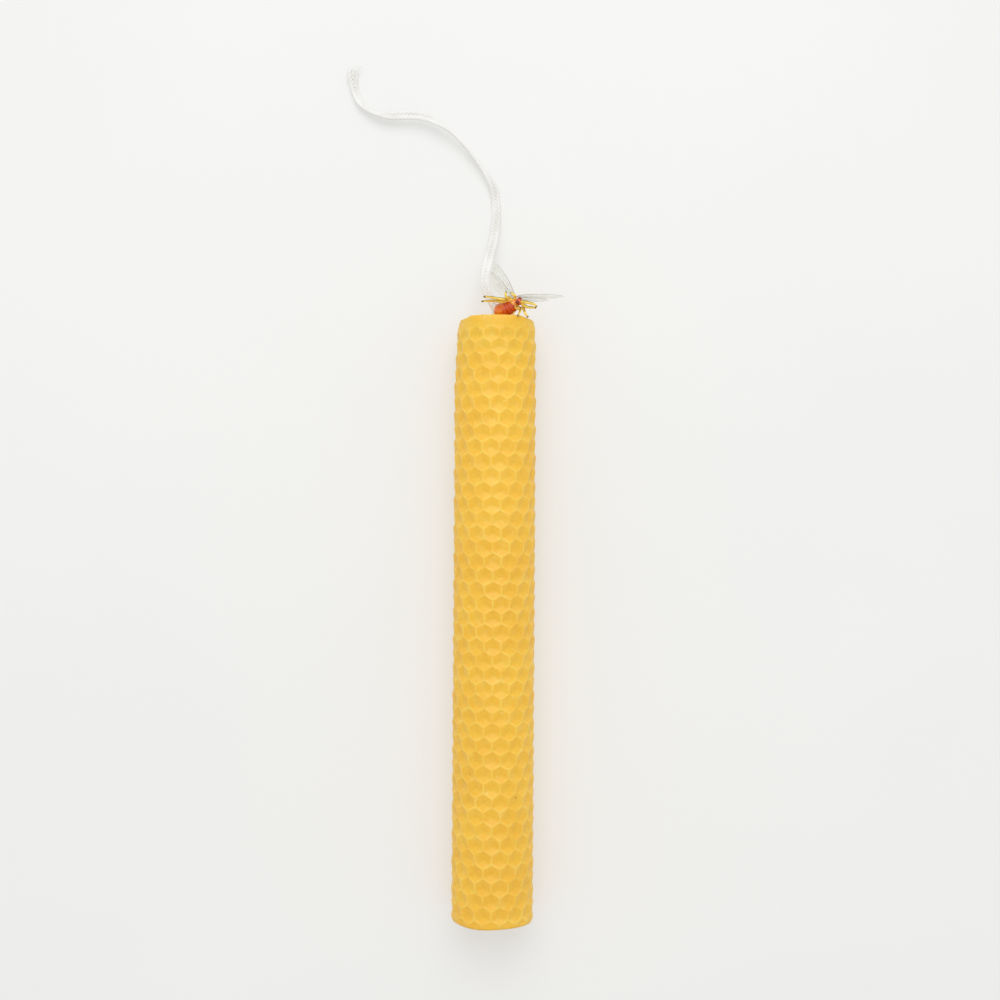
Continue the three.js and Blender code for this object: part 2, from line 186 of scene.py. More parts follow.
def even_curve(tree, given):
    """The curve that comes in, with points at the given spacing."""
    return add_node(tree, "GeometryNodeResampleCurve", mode="LENGTH", named={
        "Curve": given["Geometry"], "Length": given["Spacing"]}).outputs[0]


def round_tubes(tree, curve, sides, radius, **named):
    section = add_node(tree, "GeometryNodeCurvePrimitiveCircle", named={
        "Resolution": sides, "Radius": radius})
    return add_node(tree, "GeometryNodeCurveToMesh", named={
        "Curve": curve, "Profile Curve": section.outputs[0], "Fill Caps": True, **named}).outputs[0]


def store(tree, geometry, name, value):
    """Keeps a value on the points under a name, for the material to read."""
    made = add_node(tree, "GeometryNodeStoreNamedAttribute", data_type="FLOAT", domain="POINT",
                    named={"Geometry": geometry, "Name": name, "Value": value})
    return made.outputs[0]


SOCKETS = {float: "NodeSocketFloat", int: "NodeSocketInt", Vector: "NodeSocketVector"}


def geometry_tree(name, sizes, takes_geometry=False):
    """A Geometry Nodes tree whose sizes are named inputs. Returns it with a field for each of them."""
    tree = bpy.data.node_groups.new(name, "GeometryNodeTree")
    tree.interface.new_socket("Geometry", in_out="OUTPUT", socket_type="NodeSocketGeometry")
    if takes_geometry:
        tree.interface.new_socket("Geometry", in_out="INPUT", socket_type="NodeSocketGeometry")
    for label, value in sizes.items():
        socket = tree.interface.new_socket(label, in_out="INPUT", socket_type=SOCKETS[type(value)])
        socket.default_value = value
    tree.interface.new_socket("Material", in_out="INPUT", socket_type="NodeSocketMaterial")
    given = tree.nodes.new("NodeGroupInput")
    return tree, {socket.name: Field(tree, socket) for socket in given.outputs if socket.name}


def finish_tree(tree, geometry, material):
    """Ends a tree the way the export needs: real geometry, shaded smooth, with its material."""
    real = add_node(tree, "GeometryNodeRealizeInstances", geometry)
    smooth = add_node(tree, "GeometryNodeSetShadeSmooth", real.outputs[0])
    dressed = add_node(tree, "GeometryNodeSetMaterial", smooth.outputs[0], named={"Material": material})
    add_node(tree, "NodeGroupOutput", dressed.outputs[0])


def grow(name, tree, material, sizes=None, base=None):
    """Runs a tree on a base (an empty mesh if it needs none) and returns the result as a plain mesh."""
    seed = new_object(name + "_seed", base or bpy.data.meshes.new(name + "_seed"))
    modifier = seed.modifiers.new("nodes", "NODES")
    modifier.node_group = tree
    values = dict(sizes or {}, Material=material)
    for item in tree.interface.items_tree:
        if item.item_type == "SOCKET" and item.in_out == "INPUT" and item.name in values:
            modifier[item.identifier] = values[item.name]
    graph = bpy.context.evaluated_depsgraph_get()
    grown = seed.evaluated_get(graph)
    mesh = bpy.data.meshes.new_from_object(grown, preserve_all_data_layers=True, depsgraph=graph)
    bpy.data.objects.remove(seed)
    mesh.name = name
    print(f"{name}: {len(mesh.vertices)} points, {len(mesh.polygons)} faces")
    return new_object(name, mesh)


print("helpers ready")

# %% [markdown]
# ## Finishes
# Three effects come back in several materials, so each is a shader node group that is built once: colour that
# drifts between two tones, a fine grain that gives both the bump and the unevenness of the gloss, and small
# specks of lint or crumb.

# %% Helpers for materials
def stored(tree, name):
    """A value that Geometry Nodes or mesh code left on the surface under that name."""
    made = add_node(tree, "ShaderNodeAttribute", attribute_name=name)
    return Field(tree, made.outputs["Fac"])


def noise(tree, place, scale, detail=3.0):
    """Noise round 0.5, its features 1 / scale metres apart."""
    made = add_node(tree, "ShaderNodeTexNoise", named={"Vector": place, "Scale": scale, "Detail": detail})
    return Field(tree, made.outputs[0])


def colour_of(value):
    return (*value, 1.0) if isinstance(value, tuple) and len(value) == 3 else value


def blend_colours(tree, share, first, second):
    made = add_node(tree, "ShaderNodeMix", share, data_type="RGBA")
    sockets = [s for s in made.inputs if s.enabled and s.name in "AB"]
    wire(tree, sockets, [colour_of(first), colour_of(second)])
    return next(s for s in made.outputs if s.enabled)


GROUP_SOCKETS = {"vector": "NodeSocketVector", "colour": "NodeSocketColor", "value": "NodeSocketFloat"}


def shader_group(name, inputs, outputs):
    """An empty node group for materials. Returns its tree, its input fields and its output node."""
    tree = bpy.data.node_groups.new(name, "ShaderNodeTree")
    for label, kind in inputs.items():
        tree.interface.new_socket(label, in_out="INPUT", socket_type=GROUP_SOCKETS[kind])
    for label, kind in outputs.items():
        tree.interface.new_socket(label, in_out="OUTPUT", socket_type=GROUP_SOCKETS[kind])
    given = tree.nodes.new("NodeGroupInput")
    fields = {socket.name: Field(tree, socket) for socket in given.outputs if socket.name}
    return tree, fields, tree.nodes.new("NodeGroupOutput")


def use_group(tree, group, **values):
    made = add_node(tree, "ShaderNodeGroup", node_tree=group)
    for label, value in values.items():
        wire(tree, [made.inputs[label.replace("_", " ").capitalize()]], [colour_of(value)])
    return made


# %% Shader group: colour that drifts between two tones
uneven_colour, given, ends = shader_group(
    "Uneven colour",
    {"Place": "vector", "Scale": "value", "First": "colour", "Second": "colour"}, {"Colour": "colour"})
drift = noise(uneven_colour, given["Place"], given["Scale"]).smooth_step(0.3, 0.7)
wire(uneven_colour, ends.inputs, [blend_colours(uneven_colour, drift, given["First"], given["Second"])])

# %% Shader group: fine grain for bump and roughness
fine_grain, given, ends = shader_group(
    "Fine grain",
    {"Place": "vector", "Scale": "value", "Roughness": "value", "Spread": "value"},
    {"Height": "value", "Roughness": "value"})
coarse = noise(fine_grain, given["Place"], given["Scale"] * 0.2)
grain = noise(fine_grain, given["Place"], given["Scale"])
wire(fine_grain, ends.inputs, [grain + coarse, (coarse - 0.5) * given["Spread"] + given["Roughness"]])

# %% Shader group: specks of lint and crumbs
specks, given, ends = shader_group(
    "Specks", {"Place": "vector", "Scale": "value", "Share": "value", "Size": "value"}, {"Mask": "value"})
cells = add_node(specks, "ShaderNodeTexVoronoi", named={"Vector": given["Place"], "Scale": given["Scale"]})
chance = split(specks, cells.outputs["Color"])[0].below(given["Share"])
closeness = 1 - Field(specks, cells.outputs["Distance"]).smooth_step(given["Size"] * 0.6, given["Size"])
wire(specks, ends.inputs, [chance * closeness])
print("shader groups:", [group.name for group in (uneven_colour, fine_grain, specks)])


# %% A material from two tones and a grain
def new_material(name, scale, first, second, **sockets):
    """A material whose shader has these plain values. Returns it with its tree, its object coordinates and a
    colour that drifts between the two tones."""
    made = bpy.data.materials.new(name)
    made.use_nodes = True
    tree = made.node_tree
    for label, value in sockets.items():
        label = label.replace("_", " ").title().replace("Ior", "IOR")
        tree.nodes["Principled BSDF"].inputs[label].default_value = value
    place = add_node(tree, "ShaderNodeTexCoord").outputs["Object"]
    tone = use_group(tree, uneven_colour, place=place, scale=scale, first=first, second=second)
    return made, tree, place, tone.outputs[0]


def speck_mask(tree, place, scale, share, size):
    return Field(tree, use_group(tree, specks, place=place, scale=scale, share=share, size=size).outputs[0])


def finish_material(tree, place, colour, scale, roughness, spread, distance, strength=0.5):
    """Wires in the colour and the grain, which makes the roughness uneven and the surface slightly rough."""
    shader = tree.nodes["Principled BSDF"]
    made = use_group(tree, fine_grain, place=place, scale=scale, roughness=roughness, spread=spread)
    rough = add_node(tree, "ShaderNodeBump", named={
        "Height": made.outputs["Height"], "Strength": strength, "Distance": distance})
    for value, label in ((colour, "Base Color"), (made.outputs["Roughness"], "Roughness"),
                         (rough.outputs[0], "Normal")):
        tree.links.new(value, shader.inputs[label])


# %% [markdown]
# ## The free wick
# The wick is a flat braid of bleached cotton. It leaves the middle of the roll, drops to the table in front
# of the bee and lies there in a loose S, partly flat and partly on edge. The route's points are listed, and a
# smooth curve is drawn through them. Halfway the stiff braid arches up to three millimetres off the table,
# which the soft shadow beside it shows.

# %% The route of the free wick
WICK_WIDTH = 3.2 * MM
WICK_DEPTH = 1.3 * MM
WICK_BED = -AXIS_Z / MM + 0.8  # its middle where it lies flat, in mm from the middle of the wick end

OFF_THE_ROLL = [  # points in mm from the middle of the wick end
    (0, 1.3, 0), (-0.15, 3.2, 0), (-1.2, 5.4, 0), (-2.7, 7.9, -0.2), (-3.9, 11.1, -0.9), (-3.9, 15, -2.4),
    (-3.2, 19.4, -4.6), (-2.3, 23.7, -7.1), (-1.4, 27.7, -9.3),
]
OVER_THE_TABLE = [  # the same, but the heights are over the wick's bed on the table
    (-0.8, 31.6, 1.3), (-0.4, 35.8, 0.3), (-0.5, 40.6, 0), (-1.1, 45.5, 0.1), (-2.8, 49.7, 0.7),
    (-6.3, 54.7, 1.4), (-10.4, 59.8, 2.2), (-14.8, 64.3, 2.8), (-20, 68, 3.1), (-25.6, 70.6, 3.1),
    (-31, 71.2, 3), (-36.7, 71, 2.6), (-41.2, 71.6, 2), (-45.3, 73.4, 1.2), (-47.8, 76.2, 0.6),
    (-49.6, 80.6, 0.1), (-50.5, 85, 0), (-50.6, 87.6, 0.1),
]
WICK_ROUTE = OFF_THE_ROLL + [(x, y, WICK_BED + z) for x, y, z in OVER_THE_TABLE]


def from_tip(x, y, z):
    """A point given in millimetres from the middle of the wick end."""
    return tip_centre + Vector((x, y, z)) * MM


def smooth_route(points, steps):
    """Points on a centripetal Catmull-Rom curve, which never loops or overshoots between its knots."""
    knots = [2 * points[0] - points[1], *points, 2 * points[-1] - points[-2]]
    made = []
    for a, b, c, d in zip(knots, knots[1:], knots[2:], knots[3:]):
        ab, bc, cd = (math.sqrt((q - p).length) for p, q in ((a, b), (b, c), (c, d)))
        leave = ((b - a) / ab - (c - a) / (ab + bc) + (c - b) / bc) * bc
        arrive = ((c - b) / bc - (d - b) / (bc + cd) + (d - c) / cd) * bc
        for i in range(steps):
            t = i / steps
            made.append(b * (2 * t**3 - 3 * t**2 + 1) + c * (3 * t**2 - 2 * t**3)
                        + leave * (t**3 - 2 * t**2 + t) + arrive * (t**3 - t**2))
    return made + [points[-1]]


ROUTE_STEPS = 12
wick_path = smooth_route([from_tip(*p) for p in WICK_ROUTE], ROUTE_STEPS)

# %% [markdown]
# A flat braid is a few yarns that weave from edge to edge. Seen along the braid each yarn draws a figure of
# eight: it goes once across while it goes twice up and down. Geometry Nodes copy the centreline once for each
# yarn, shift each copy along the figure of eight by its own phase, and give it a round section. The curve's
# own normal, which is level where the tilt is 0, says which way the braid's width runs, so it can twist.
# Where the braid was cut, its yarns have different lengths and spread apart. On the table they are pressed
# flat.

# %% Geometry Nodes: a flat braid along a curve
LEAST_HEIGHT = 0.02 * MM

braid, given = geometry_tree("Flat braid", {
    "Width": WICK_WIDTH, "Depth": WICK_DEPTH, "Yarns": 8, "Repeat": 11 * MM,
    "Yarn radius": 0.4 * MM, "Spacing": 0.35 * MM, "Section sides": 7,
    "Frayed length": 5 * MM, "Spread": 0.2, "Uneven cut": 1.8 * MM, "Seed": 4,
}, takes_geometry=True)
even = even_curve(braid, given)
whole = Field(braid, add_node(braid, "GeometryNodeSplineLength").outputs["Length"])
copies = add_node(braid, "GeometryNodeDuplicateElements", domain="SPLINE",
                  named={"Geometry": even, "Amount": given["Yarns"]})
yarn_number = Field(braid, copies.outputs["Duplicate Index"])
trim = add_node(braid, "FunctionNodeRandomValue", data_type="FLOAT", named={
    "Min": 0.0, "Max": given["Uneven cut"], "ID": yarn_number, "Seed": given["Seed"]})
cut_short = add_node(braid, "GeometryNodeTrimCurve", mode="LENGTH", named={
    "Curve": copies.outputs[0], "Start": 0.0, "End": whole - Field(braid, trim.outputs[1])})
run = Field(braid, add_node(braid, "GeometryNodeSplineParameter").outputs["Length"])
angle = (run / given["Repeat"] + yarn_number / given["Yarns"]) * math.tau
frayed = (run - (whole - given["Frayed length"])) / given["Frayed length"]
loosened = frayed.at_least(0.0) ** 2 * given["Spread"] + 1
across = angle.sine() * (given["Width"] / 2 - given["Yarn radius"]) * loosened
outward = (angle * 2).sine() * (given["Depth"] / 2 - given["Yarn radius"])
level = add_node(braid, "GeometryNodeInputNormal").outputs[0]
ahead = add_node(braid, "GeometryNodeInputTangent").outputs[0]
upward = vector_maths(braid, "CROSS_PRODUCT", ahead, level)
shift = vector_maths(
    braid, "ADD", vector_maths(braid, "SCALE", level, across), vector_maths(braid, "SCALE", upward, outward))
yarns = add_node(braid, "GeometryNodeSetPosition", cut_short.outputs[0], named={"Offset": shift})
tubes = round_tubes(braid, yarns.outputs[0], given["Section sides"], given["Yarn radius"])
tube_x, tube_y, tube_z = point_parts(braid)
pressed = moved_to(braid, tubes, joined(braid, tube_x, tube_y, tube_z.at_least(LEAST_HEIGHT)))
finish_tree(braid, pressed, given["Material"])
print("braid tree:", len(braid.nodes), "nodes")


def centreline(name, points, tilts=None):
    """A curve through the points. Its flat face looks up where the tilt is 0."""
    data = bpy.data.curves.new(name, "CURVE")
    data.dimensions = "3D"
    data.twist_mode = "Z_UP"
    spline = data.splines.new("POLY")
    spline.points.add(len(points) - 1)
    for knot, place, tilt in zip(spline.points, points, tilts or [0.0] * len(points)):
        knot.co = (*place, 1)
        knot.tilt = tilt
    return data


# %% [markdown]
# Cotton is a soft, rough white. Its shader adds sheen for the fuzz at the yarns' edges, a fine grain, specks
# of lint and a faint warm unevenness.

# %% Bleached cotton
cotton, tree, place, tone = new_material(
    "bleached_cotton", 140.0, (0.8, 0.79, 0.76), (0.87, 0.865, 0.845), sheen_weight=0.2, sheen_roughness=0.6)
linty = blend_colours(tree, speck_mask(tree, place, 900.0, 0.12, 0.3) * 0.3, tone, (0.62, 0.6, 0.54))
finish_material(tree, place, linty, 3200.0, 0.88, 0.2, 0.08 * MM)
print("cotton ready")

# %% [markdown]
# The braid lies on its face or on its edge by turns. The tilt table says where: each entry is the number of a
# point on the route and the turn of the flat face there, in radians.

# %% The free wick
WICK_TILT = [(0, 0.0), (11, 0.0), (12.2, 0.25), (13, 0.8), (14, 1.3), (15, 1.45), (16.4, 1.45), (17, 1.15),
             (18, 0.4), (19, 0.05), (20, 0.35), (21, 1.15), (22, 1.35), (23, 0.8), (24, 0.28), (26, 0.0)]


def between(table, x):
    """A value read off a short table of (place, value) pairs, with straight lines between them."""
    for (x0, y0), (x1, y1) in zip(table, table[1:]):
        if x <= x1:
            return y0 + (y1 - y0) * (x - x0) / (x1 - x0)
    return table[-1][1]


inside_roll = [from_tip(0, -2.0 + i * 0.4, 0) for i in range(8)]
tilts = [0.0] * len(inside_roll) + [between(WICK_TILT, i / ROUTE_STEPS) for i in range(len(wick_path))]
wick_line = centreline("wick_line", inside_roll + wick_path, tilts)
wick = grow("braided_wick", braid, cotton, base=wick_line)
dress(wick, "candle", "wick_tail")

# %% [markdown]
# The strand tree makes a tapered tube along a curve. The bee's legs, feelers and veins need it too, so it
# also stores how far along a point is and how much it faces the side where painted shade darkens the bee's
# strands. Here it makes what has come loose from the braid: a yarn that hooks away from the cut end, and a few
# fine fibres.

# %% Geometry Nodes: a tapered strand
TIP_LENGTH = 0.05  # the share of a strand that its rounded tip takes

strand, given = geometry_tree("Tapered strand", {
    "Radius": 0.56 * MM, "Tip share": 0.6, "Sides": 12, "Spacing": 0.12 * MM,
    "Edge": Vector((0.0, 0.85, 0.53)),
}, takes_geometry=True)
factor = Field(strand, add_node(strand, "GeometryNodeSplineParameter").outputs["Factor"])
narrowing = 1 - factor.smooth_step(0.15, 1.0) * (1 - given["Tip share"])
end = ((factor - (1 - TIP_LENGTH)) / TIP_LENGTH).at_least(0.0).at_most(0.98)
rounding = (1 - end * end).root()
knots = (factor * (math.tau * 3)).cosine() * 0.08 + 1
marked = store(strand, even_curve(strand, given), "along", factor)
tube = round_tubes(strand, marked, given["Sides"], given["Radius"], Scale=narrowing * rounding * knots)
# The edge share says where painted shade goes on the bee's strands: the side that faces the Edge direction.
outward = add_node(strand, "GeometryNodeInputNormal").outputs[0]
lean = Field(strand, vector_maths(strand, "DOT_PRODUCT", outward, given["Edge"]))
finish_tree(strand, store(strand, tube, "edge", lean.smooth_step(0.72, 0.92)), given["Material"])
print("strand tree:", len(strand.nodes), "nodes")


def grow_strand(name, path, material, sizes=None):
    return grow(name, strand, material, sizes, centreline(f"{name}_line", path))


# %% Loose yarn and fibres
LOOSE_YARN = [(-49.7, 81.5, 0.9), (-49.1, 84, 1.3), (-49, 86, 1.6), (-48.4, 87.6, 1.9), (-47.4, 88.6, 2)]
FIBRE_TUFTS = [(-36.5, 71.4, 2.6, 7), (-51.3, 82.5, 0.9, 5), (-50.6, 87.6, 0.9, 6)]
FIBRE_REACH = 2.2 * MM

loose_curl = smooth_route([from_tip(x, y, z - AXIS_Z / MM) for x, y, z in LOOSE_YARN], 16)
loose_pieces = [grow_strand("loose_yarn", loose_curl, cotton, {"Radius": 0.5 * MM, "Tip share": 0.45})]
chance = random.Random(7)
for x, y, z, count in FIBRE_TUFTS:
    for i in range(count):
        start = from_tip(x + chance.uniform(-1.2, 1.2), y + chance.uniform(-0.5, 0.9), z + 0.3 - AXIS_Z / MM)
        way = Vector((chance.uniform(-1, 1), chance.uniform(-0.2, 1), chance.uniform(-0.1, 0.5)))
        way *= FIBRE_REACH
        bend = Vector((chance.uniform(-1, 1), chance.uniform(-1, 1), 0)) * (0.35 * FIBRE_REACH)
        path = smooth_route([start, start + way * 0.5 + bend, start + way], 10)
        loose_pieces.append(grow_strand(f"fibre_{len(loose_pieces)}", path, cotton, {
            "Radius": 0.07 * MM, "Sides": 5, "Tip share": 0.4, "Spacing": 0.2 * MM}))
for piece in loose_pieces:
    dress(piece, "candle", "wick_tail")
print(len(loose_pieces), "loose pieces")

# %% [markdown]
# Inside the candle the same braid runs straight. Only its ends show, so it gets a rounder, tighter braid that
# fills the hole in the roll.

# %% The wick inside the roll
CORE_WIDTH = core_high.x - core_low.x
CORE_END_Y = TIP_Y + 0.3 * MM
CORE_STEPS = 40
core_run = CORE_END_Y - core_low.y
core_ys = [core_low.y + core_run * i / CORE_STEPS for i in range(CORE_STEPS + 1)]
core_places = [Vector((AXIS_X, y, AXIS_Z)) for y in core_ys]
core = grow("wick_inside", braid, cotton, base=centreline("core_line", core_places), sizes={
    "Width": CORE_WIDTH, "Depth": CORE_WIDTH * 0.85, "Yarn radius": 0.52 * MM, "Spacing": 1.2 * MM,
    "Spread": 0.0, "Uneven cut": 0.3 * MM})
dress(core, "candle", "wick_core")

# %% [markdown]
# ## The honeycomb sheet
# The main piece follows a rule, so Geometry Nodes make it. It starts as a flat box with a fine grid of
# points. The grid is skewed, every other column half a step along, so that six triangles meet in the middle
# of each cell and the cell's walls run along their edges. Each point then gets a height, and at last the flat
# sheet is rolled up.
#
# A cell of real comb is a pit with three rhombi for a floor. The floor is lowest in the middle. Going round
# the rim it is highest at every other corner, where it reaches the top of the walls.

# %% Sizes of the sheet and the roll
SHEET_WIDTH = TIP_Y - BASE_Y
SHEET_LENGTH = 413 * MM
WAX_THICKNESS = 0.87 * MM
TURN_PITCH = 1.35 * MM
BORE_RADIUS = 1.75 * MM
CELL_PITCH = 5.4 * MM
CELL_SIDE = CELL_PITCH / math.sqrt(3)
CELL_FLOOR = 0.45 * MM
CELL_CREST = 1.5 * MM
WALL_FOOT = 0.44 * MM
WALL_TOP = 0.13 * MM
WALL_DIP = 0.36 * MM
RIDGE_STEP = 0.04 * MM
BACK_UNEVEN = 0.25 * MM
SEAM_ANGLE = math.radians(-108)
SEAM_LAND = 1.6 * MM
SEAM_THICKNESS = 0.6 * MM
LEAST_WAX = 0.22 * MM

GROWTH = TURN_PITCH / math.tau
MIDDLE_START = BORE_RADIUS + WAX_THICKNESS / 2


def turned_at(length):
    """How far the roll has turned, in radians, when that much of the sheet is rolled up."""
    return (math.sqrt(MIDDLE_START**2 + 2 * GROWTH * length) - MIDDLE_START) / GROWTH


def length_at(turned):
    return MIDDLE_START * turned + GROWTH / 2 * turned**2


TURNED_END = turned_at(SHEET_LENGTH)
UNDER_SEAM = length_at(TURNED_END - math.tau)
OUTER_RADIUS = BORE_RADIUS + GROWTH * TURNED_END
print(f"{TURNED_END / math.tau:.2f} turns; the outer one takes {(SHEET_LENGTH - UNDER_SEAM) / MM:.1f} mm")


# %% Field formulas for the comb
def nearest_cell(column, row):
    """The middle of the cell round a point. Columns are half a pitch wide and rows one and a half sides high,
    and cells sit where both are even or both are odd."""
    both_even = [(column / 2).to_whole() * 2, (row / 2).to_whole() * 2]
    both_odd = [((column - 1) / 2).to_whole() * 2 + 1, ((row - 1) / 2).to_whole() * 2 + 1]

    def apart(cell):
        x = (column - cell[0]) * (CELL_PITCH / 2 / MM)
        y = (row - cell[1]) * (1.5 * CELL_SIDE / MM)
        return x * x + y * y

    is_even = apart(both_even).below(apart(both_odd))
    return [is_even * even + (1 - is_even) * odd for even, odd in zip(both_even, both_odd)]


def wall_share(x, y):
    """0 in the middle of a cell and 1 on its walls, for a point that far from the middle."""
    slant = x.absolute() * 0.5 + y.absolute() * (math.sqrt(3) / 2)
    return x.absolute().at_least(slant) / (CELL_PITCH / 2)


def floor_rise(x, y):
    """0 in the middle of a cell and 1 at the three high corners of its floor."""
    uphill = x.absolute() * (math.sqrt(3) / 2) + y * 0.5
    return uphill.at_least(y * -1) / CELL_SIDE


def tree_noise(tree, place, scale, detail=2.0):
    """Noise round 0."""
    return noise(tree, place, scale, detail) - 0.5


# %% [markdown]
# The roll is not perfect. The outer face is drawn in towards the wick end, where it was pressed round the
# wick, the rims are rubbed round and smooth, the layers do not end quite level, and the comb has stretched a
# little where it was rolled tighter. Each of these is a short formula too.

# %% Field formulas for the roll
TIP_TAPER = 0.6 * MM
TIP_TAPER_LENGTH = 26 * MM
TIP_BEND = 0.35 * MM
RIM_ROUND = 0.35 * MM
RIM_LENGTH = 3 * MM
SIDE_ROUND = 0.95 * MM
SIDE_LENGTH = 4 * MM
SIDE_SHORT = 1.1 * MM
SECOND_SHORT = 0.5 * MM
TIP_UNEVEN = 0.4 * MM
BASE_UNEVEN = 0.35 * MM
DRIFT_ALONG = 1.4 * MM
DRIFT_ACROSS = 1.1 * MM


def rounded(from_end, depth, length):
    """A quarter of an ellipse: depth at the end, nothing from length on."""
    share = 1 - from_end.at_most(length) / length
    return (1 - (1 - share * share).at_least(0.0).root()) * depth


def roll_angle(along):
    """Which way from the axis a part of the sheet faces, in radians from +X."""
    turned = ((along * (2 * GROWTH) + MIDDLE_START**2).root() - MIDDLE_START) / GROWTH
    return turned, turned - (TURNED_END - SEAM_ANGLE)


def on_sides(along):
    """1 at the candle's left side, a little less at its right side and 0 at its top and bottom."""
    to_right = roll_angle(along)[1].cosine()
    return (to_right * -1).smooth_step(0.55, 0.95) + to_right.smooth_step(0.7, 0.97) * 0.75


def drawn_in(along, across):
    """How far the outer face is pressed in near the two ends."""
    from_tip_end = SHEET_WIDTH - across
    taper = (1 - from_tip_end.smooth_step(0.0, TIP_TAPER_LENGTH)) * TIP_TAPER
    rims = rounded(across.at_most(from_tip_end), RIM_ROUND, RIM_LENGTH)
    return taper + rims + rounded(from_tip_end, SIDE_ROUND, SIDE_LENGTH) * on_sides(along)


def stretched(along, across):
    """Where the comb really lies: it drifts a little towards the wick end, away from the sheet's edges."""
    past_start = (along - UNDER_SEAM).smooth_step(2 * MM, 20 * MM)
    in_turn = past_start * (SHEET_LENGTH - along).smooth_step(2 * MM, 20 * MM)
    aside = across.smooth_step(105 * MM, 190 * MM) * DRIFT_ALONG
    off_tip = (SHEET_WIDTH - across).smooth_step(0.0, 13 * MM)
    ahead = across.smooth_step(135 * MM, 188 * MM) * off_tip * DRIFT_ACROSS
    return along + aside * in_turn, across + ahead * in_turn


def level_ends(tree, along, across):
    """The layers' ends. Inside they are up to half a millimetre short of the candle's end, and at its sides
    the two outer ones slipped back further."""
    place = joined(tree, along, 0.0, 0.0)
    at_tip, at_base = [noise(tree, place, scale, 1.0).smooth_step(0.3, 0.7) for scale in (46.0, 61.0)]
    outermost = (along - UNDER_SEAM).smooth_step(-5 * MM, 20 * MM)
    two_outer = (along - UNDER_SEAM).smooth_step(-75 * MM, -60 * MM)
    slipped = on_sides(along) * (outermost * SIDE_SHORT + two_outer * SECOND_SHORT)
    short = at_tip * TIP_UNEVEN * (1 - outermost) + slipped
    near_tip = 1 - (SHEET_WIDTH - across).smooth_step(0.0, 6 * MM)
    near_base = 1 - across.smooth_step(0.0, 6 * MM)
    return across - short * near_tip + at_base * BASE_UNEVEN * near_base


def rolled_up(tree, along, across, height):
    """Where a point of the flat sheet lies once the sheet is rolled up, resting on the table."""
    turned, angle = roll_angle(along)
    radius = turned * GROWTH + BORE_RADIUS + height
    bend = (1 - (SHEET_WIDTH - across).smooth_step(0.0, TIP_TAPER_LENGTH)) * TIP_BEND
    x = angle.cosine() * radius + AXIS_X + bend * (radius / OUTER_RADIUS) ** 2
    z = angle.sine() * radius + AXIS_Z
    return joined(tree, x, across + BASE_Y, z.at_least(0.0))


print("formulas ready")

# %% [markdown]
# Only the outer turn shows its cells, so only its outer face needs the fine grid. On the back and on the
# hidden turns most rows of points are merged, and the rows that stay lie further apart the further they are
# from the two ends, which show.

# %% Geometry Nodes: the whole sheet
STEPS = 6  # fine columns in half a cell
FINE_COLUMN = CELL_PITCH / 2 / STEPS
FINE_ROW = CELL_SIDE / STEPS
LAST_CELLS = SHEET_LENGTH - SEAM_LAND
LAND_COLUMNS = math.ceil(SEAM_LAND / FINE_COLUMN)
COLUMNS = LAND_COLUMNS + math.ceil(LAST_CELLS / FINE_COLUMN)
ROWS = math.floor(SHEET_WIDTH / FINE_ROW)
HIDDEN_CREST = 1.12 * MM
RIM_THICKNESS = 1.25 * MM
END_ROWS = 3
ROW_FACTOR = 4

comb, given = geometry_tree("Honeycomb sheet", {
    "Columns": COLUMNS, "Rows": ROWS, "Cell floor": CELL_FLOOR, "Cell crest": CELL_CREST,
    "Handling": 0.1 * MM,
})
columns, rows = given["Columns"], given["Rows"]
box = add_node(comb, "GeometryNodeMeshCube", named={
    "Size": joined(comb, columns, rows, 1.0),
    "Vertices X": columns + 1, "Vertices Y": rows + 1, "Vertices Z": 2})


def sheet_length_of(column):
    """How far along the sheet a column lies, counted back from the last cells before the seam."""
    back = columns - column - LAND_COLUMNS
    return back, (LAST_CELLS - back * FINE_COLUMN).at_most(SHEET_LENGTH).at_least(0.0)


x, y, z = point_parts(comb)
column = (x + columns / 2).to_whole()
row = (y + rows / 2).to_whole()
is_fine = z.above(0.0) * sheet_length_of(column)[1].above(UNDER_SEAM)
from_end = row.at_most(rows - row)
doublings = (from_end / END_ROWS).at_least(1.0).maths("LOGARITHM", float(ROW_FACTOR)) + 0.001
kept = (doublings.maths("FLOOR") * math.log(ROW_FACTOR)).maths("EXPONENT") * END_ROWS
is_end = from_end.below(END_ROWS + 0.5)
kept = (is_end * from_end + (1 - is_end) * kept).to_whole()
is_low = row.below(rows / 2)
thin_row = is_low * kept + (1 - is_low) * (rows - kept)
gridded = moved_to(comb, box.outputs[0], joined(comb, column, is_fine * row + (1 - is_fine) * thin_row, z))
thinned = add_node(comb, "GeometryNodeMergeByDistance", gridded, named={"Distance": 0.01})

# %% The place of each point on the flat sheet
x, y, z = point_parts(comb)
is_face = z.above(0.0)
steps_back, along = sheet_length_of(x)
is_fine = is_face * along.above(UNDER_SEAM)
is_odd = (steps_back + 2 * STEPS * 100).maths("MODULO", 2.0)  # the even number only keeps it above 0
is_last = y.above(rows - 0.5)
inside = y.above(0.5) * (1 - is_last)
across = (y + is_odd * inside * is_fine * 0.5) * FINE_ROW * (1 - is_last) + is_last * SHEET_WIDTH
cell_column = steps_back / STEPS + 1
cell_row = across / (1.5 * CELL_SIDE)
middle = nearest_cell(cell_column, cell_row)
from_x = (cell_column - middle[0]) * (CELL_PITCH / 2)
from_y = (cell_row - middle[1]) * (1.5 * CELL_SIDE)
share = wall_share(from_x, from_y)

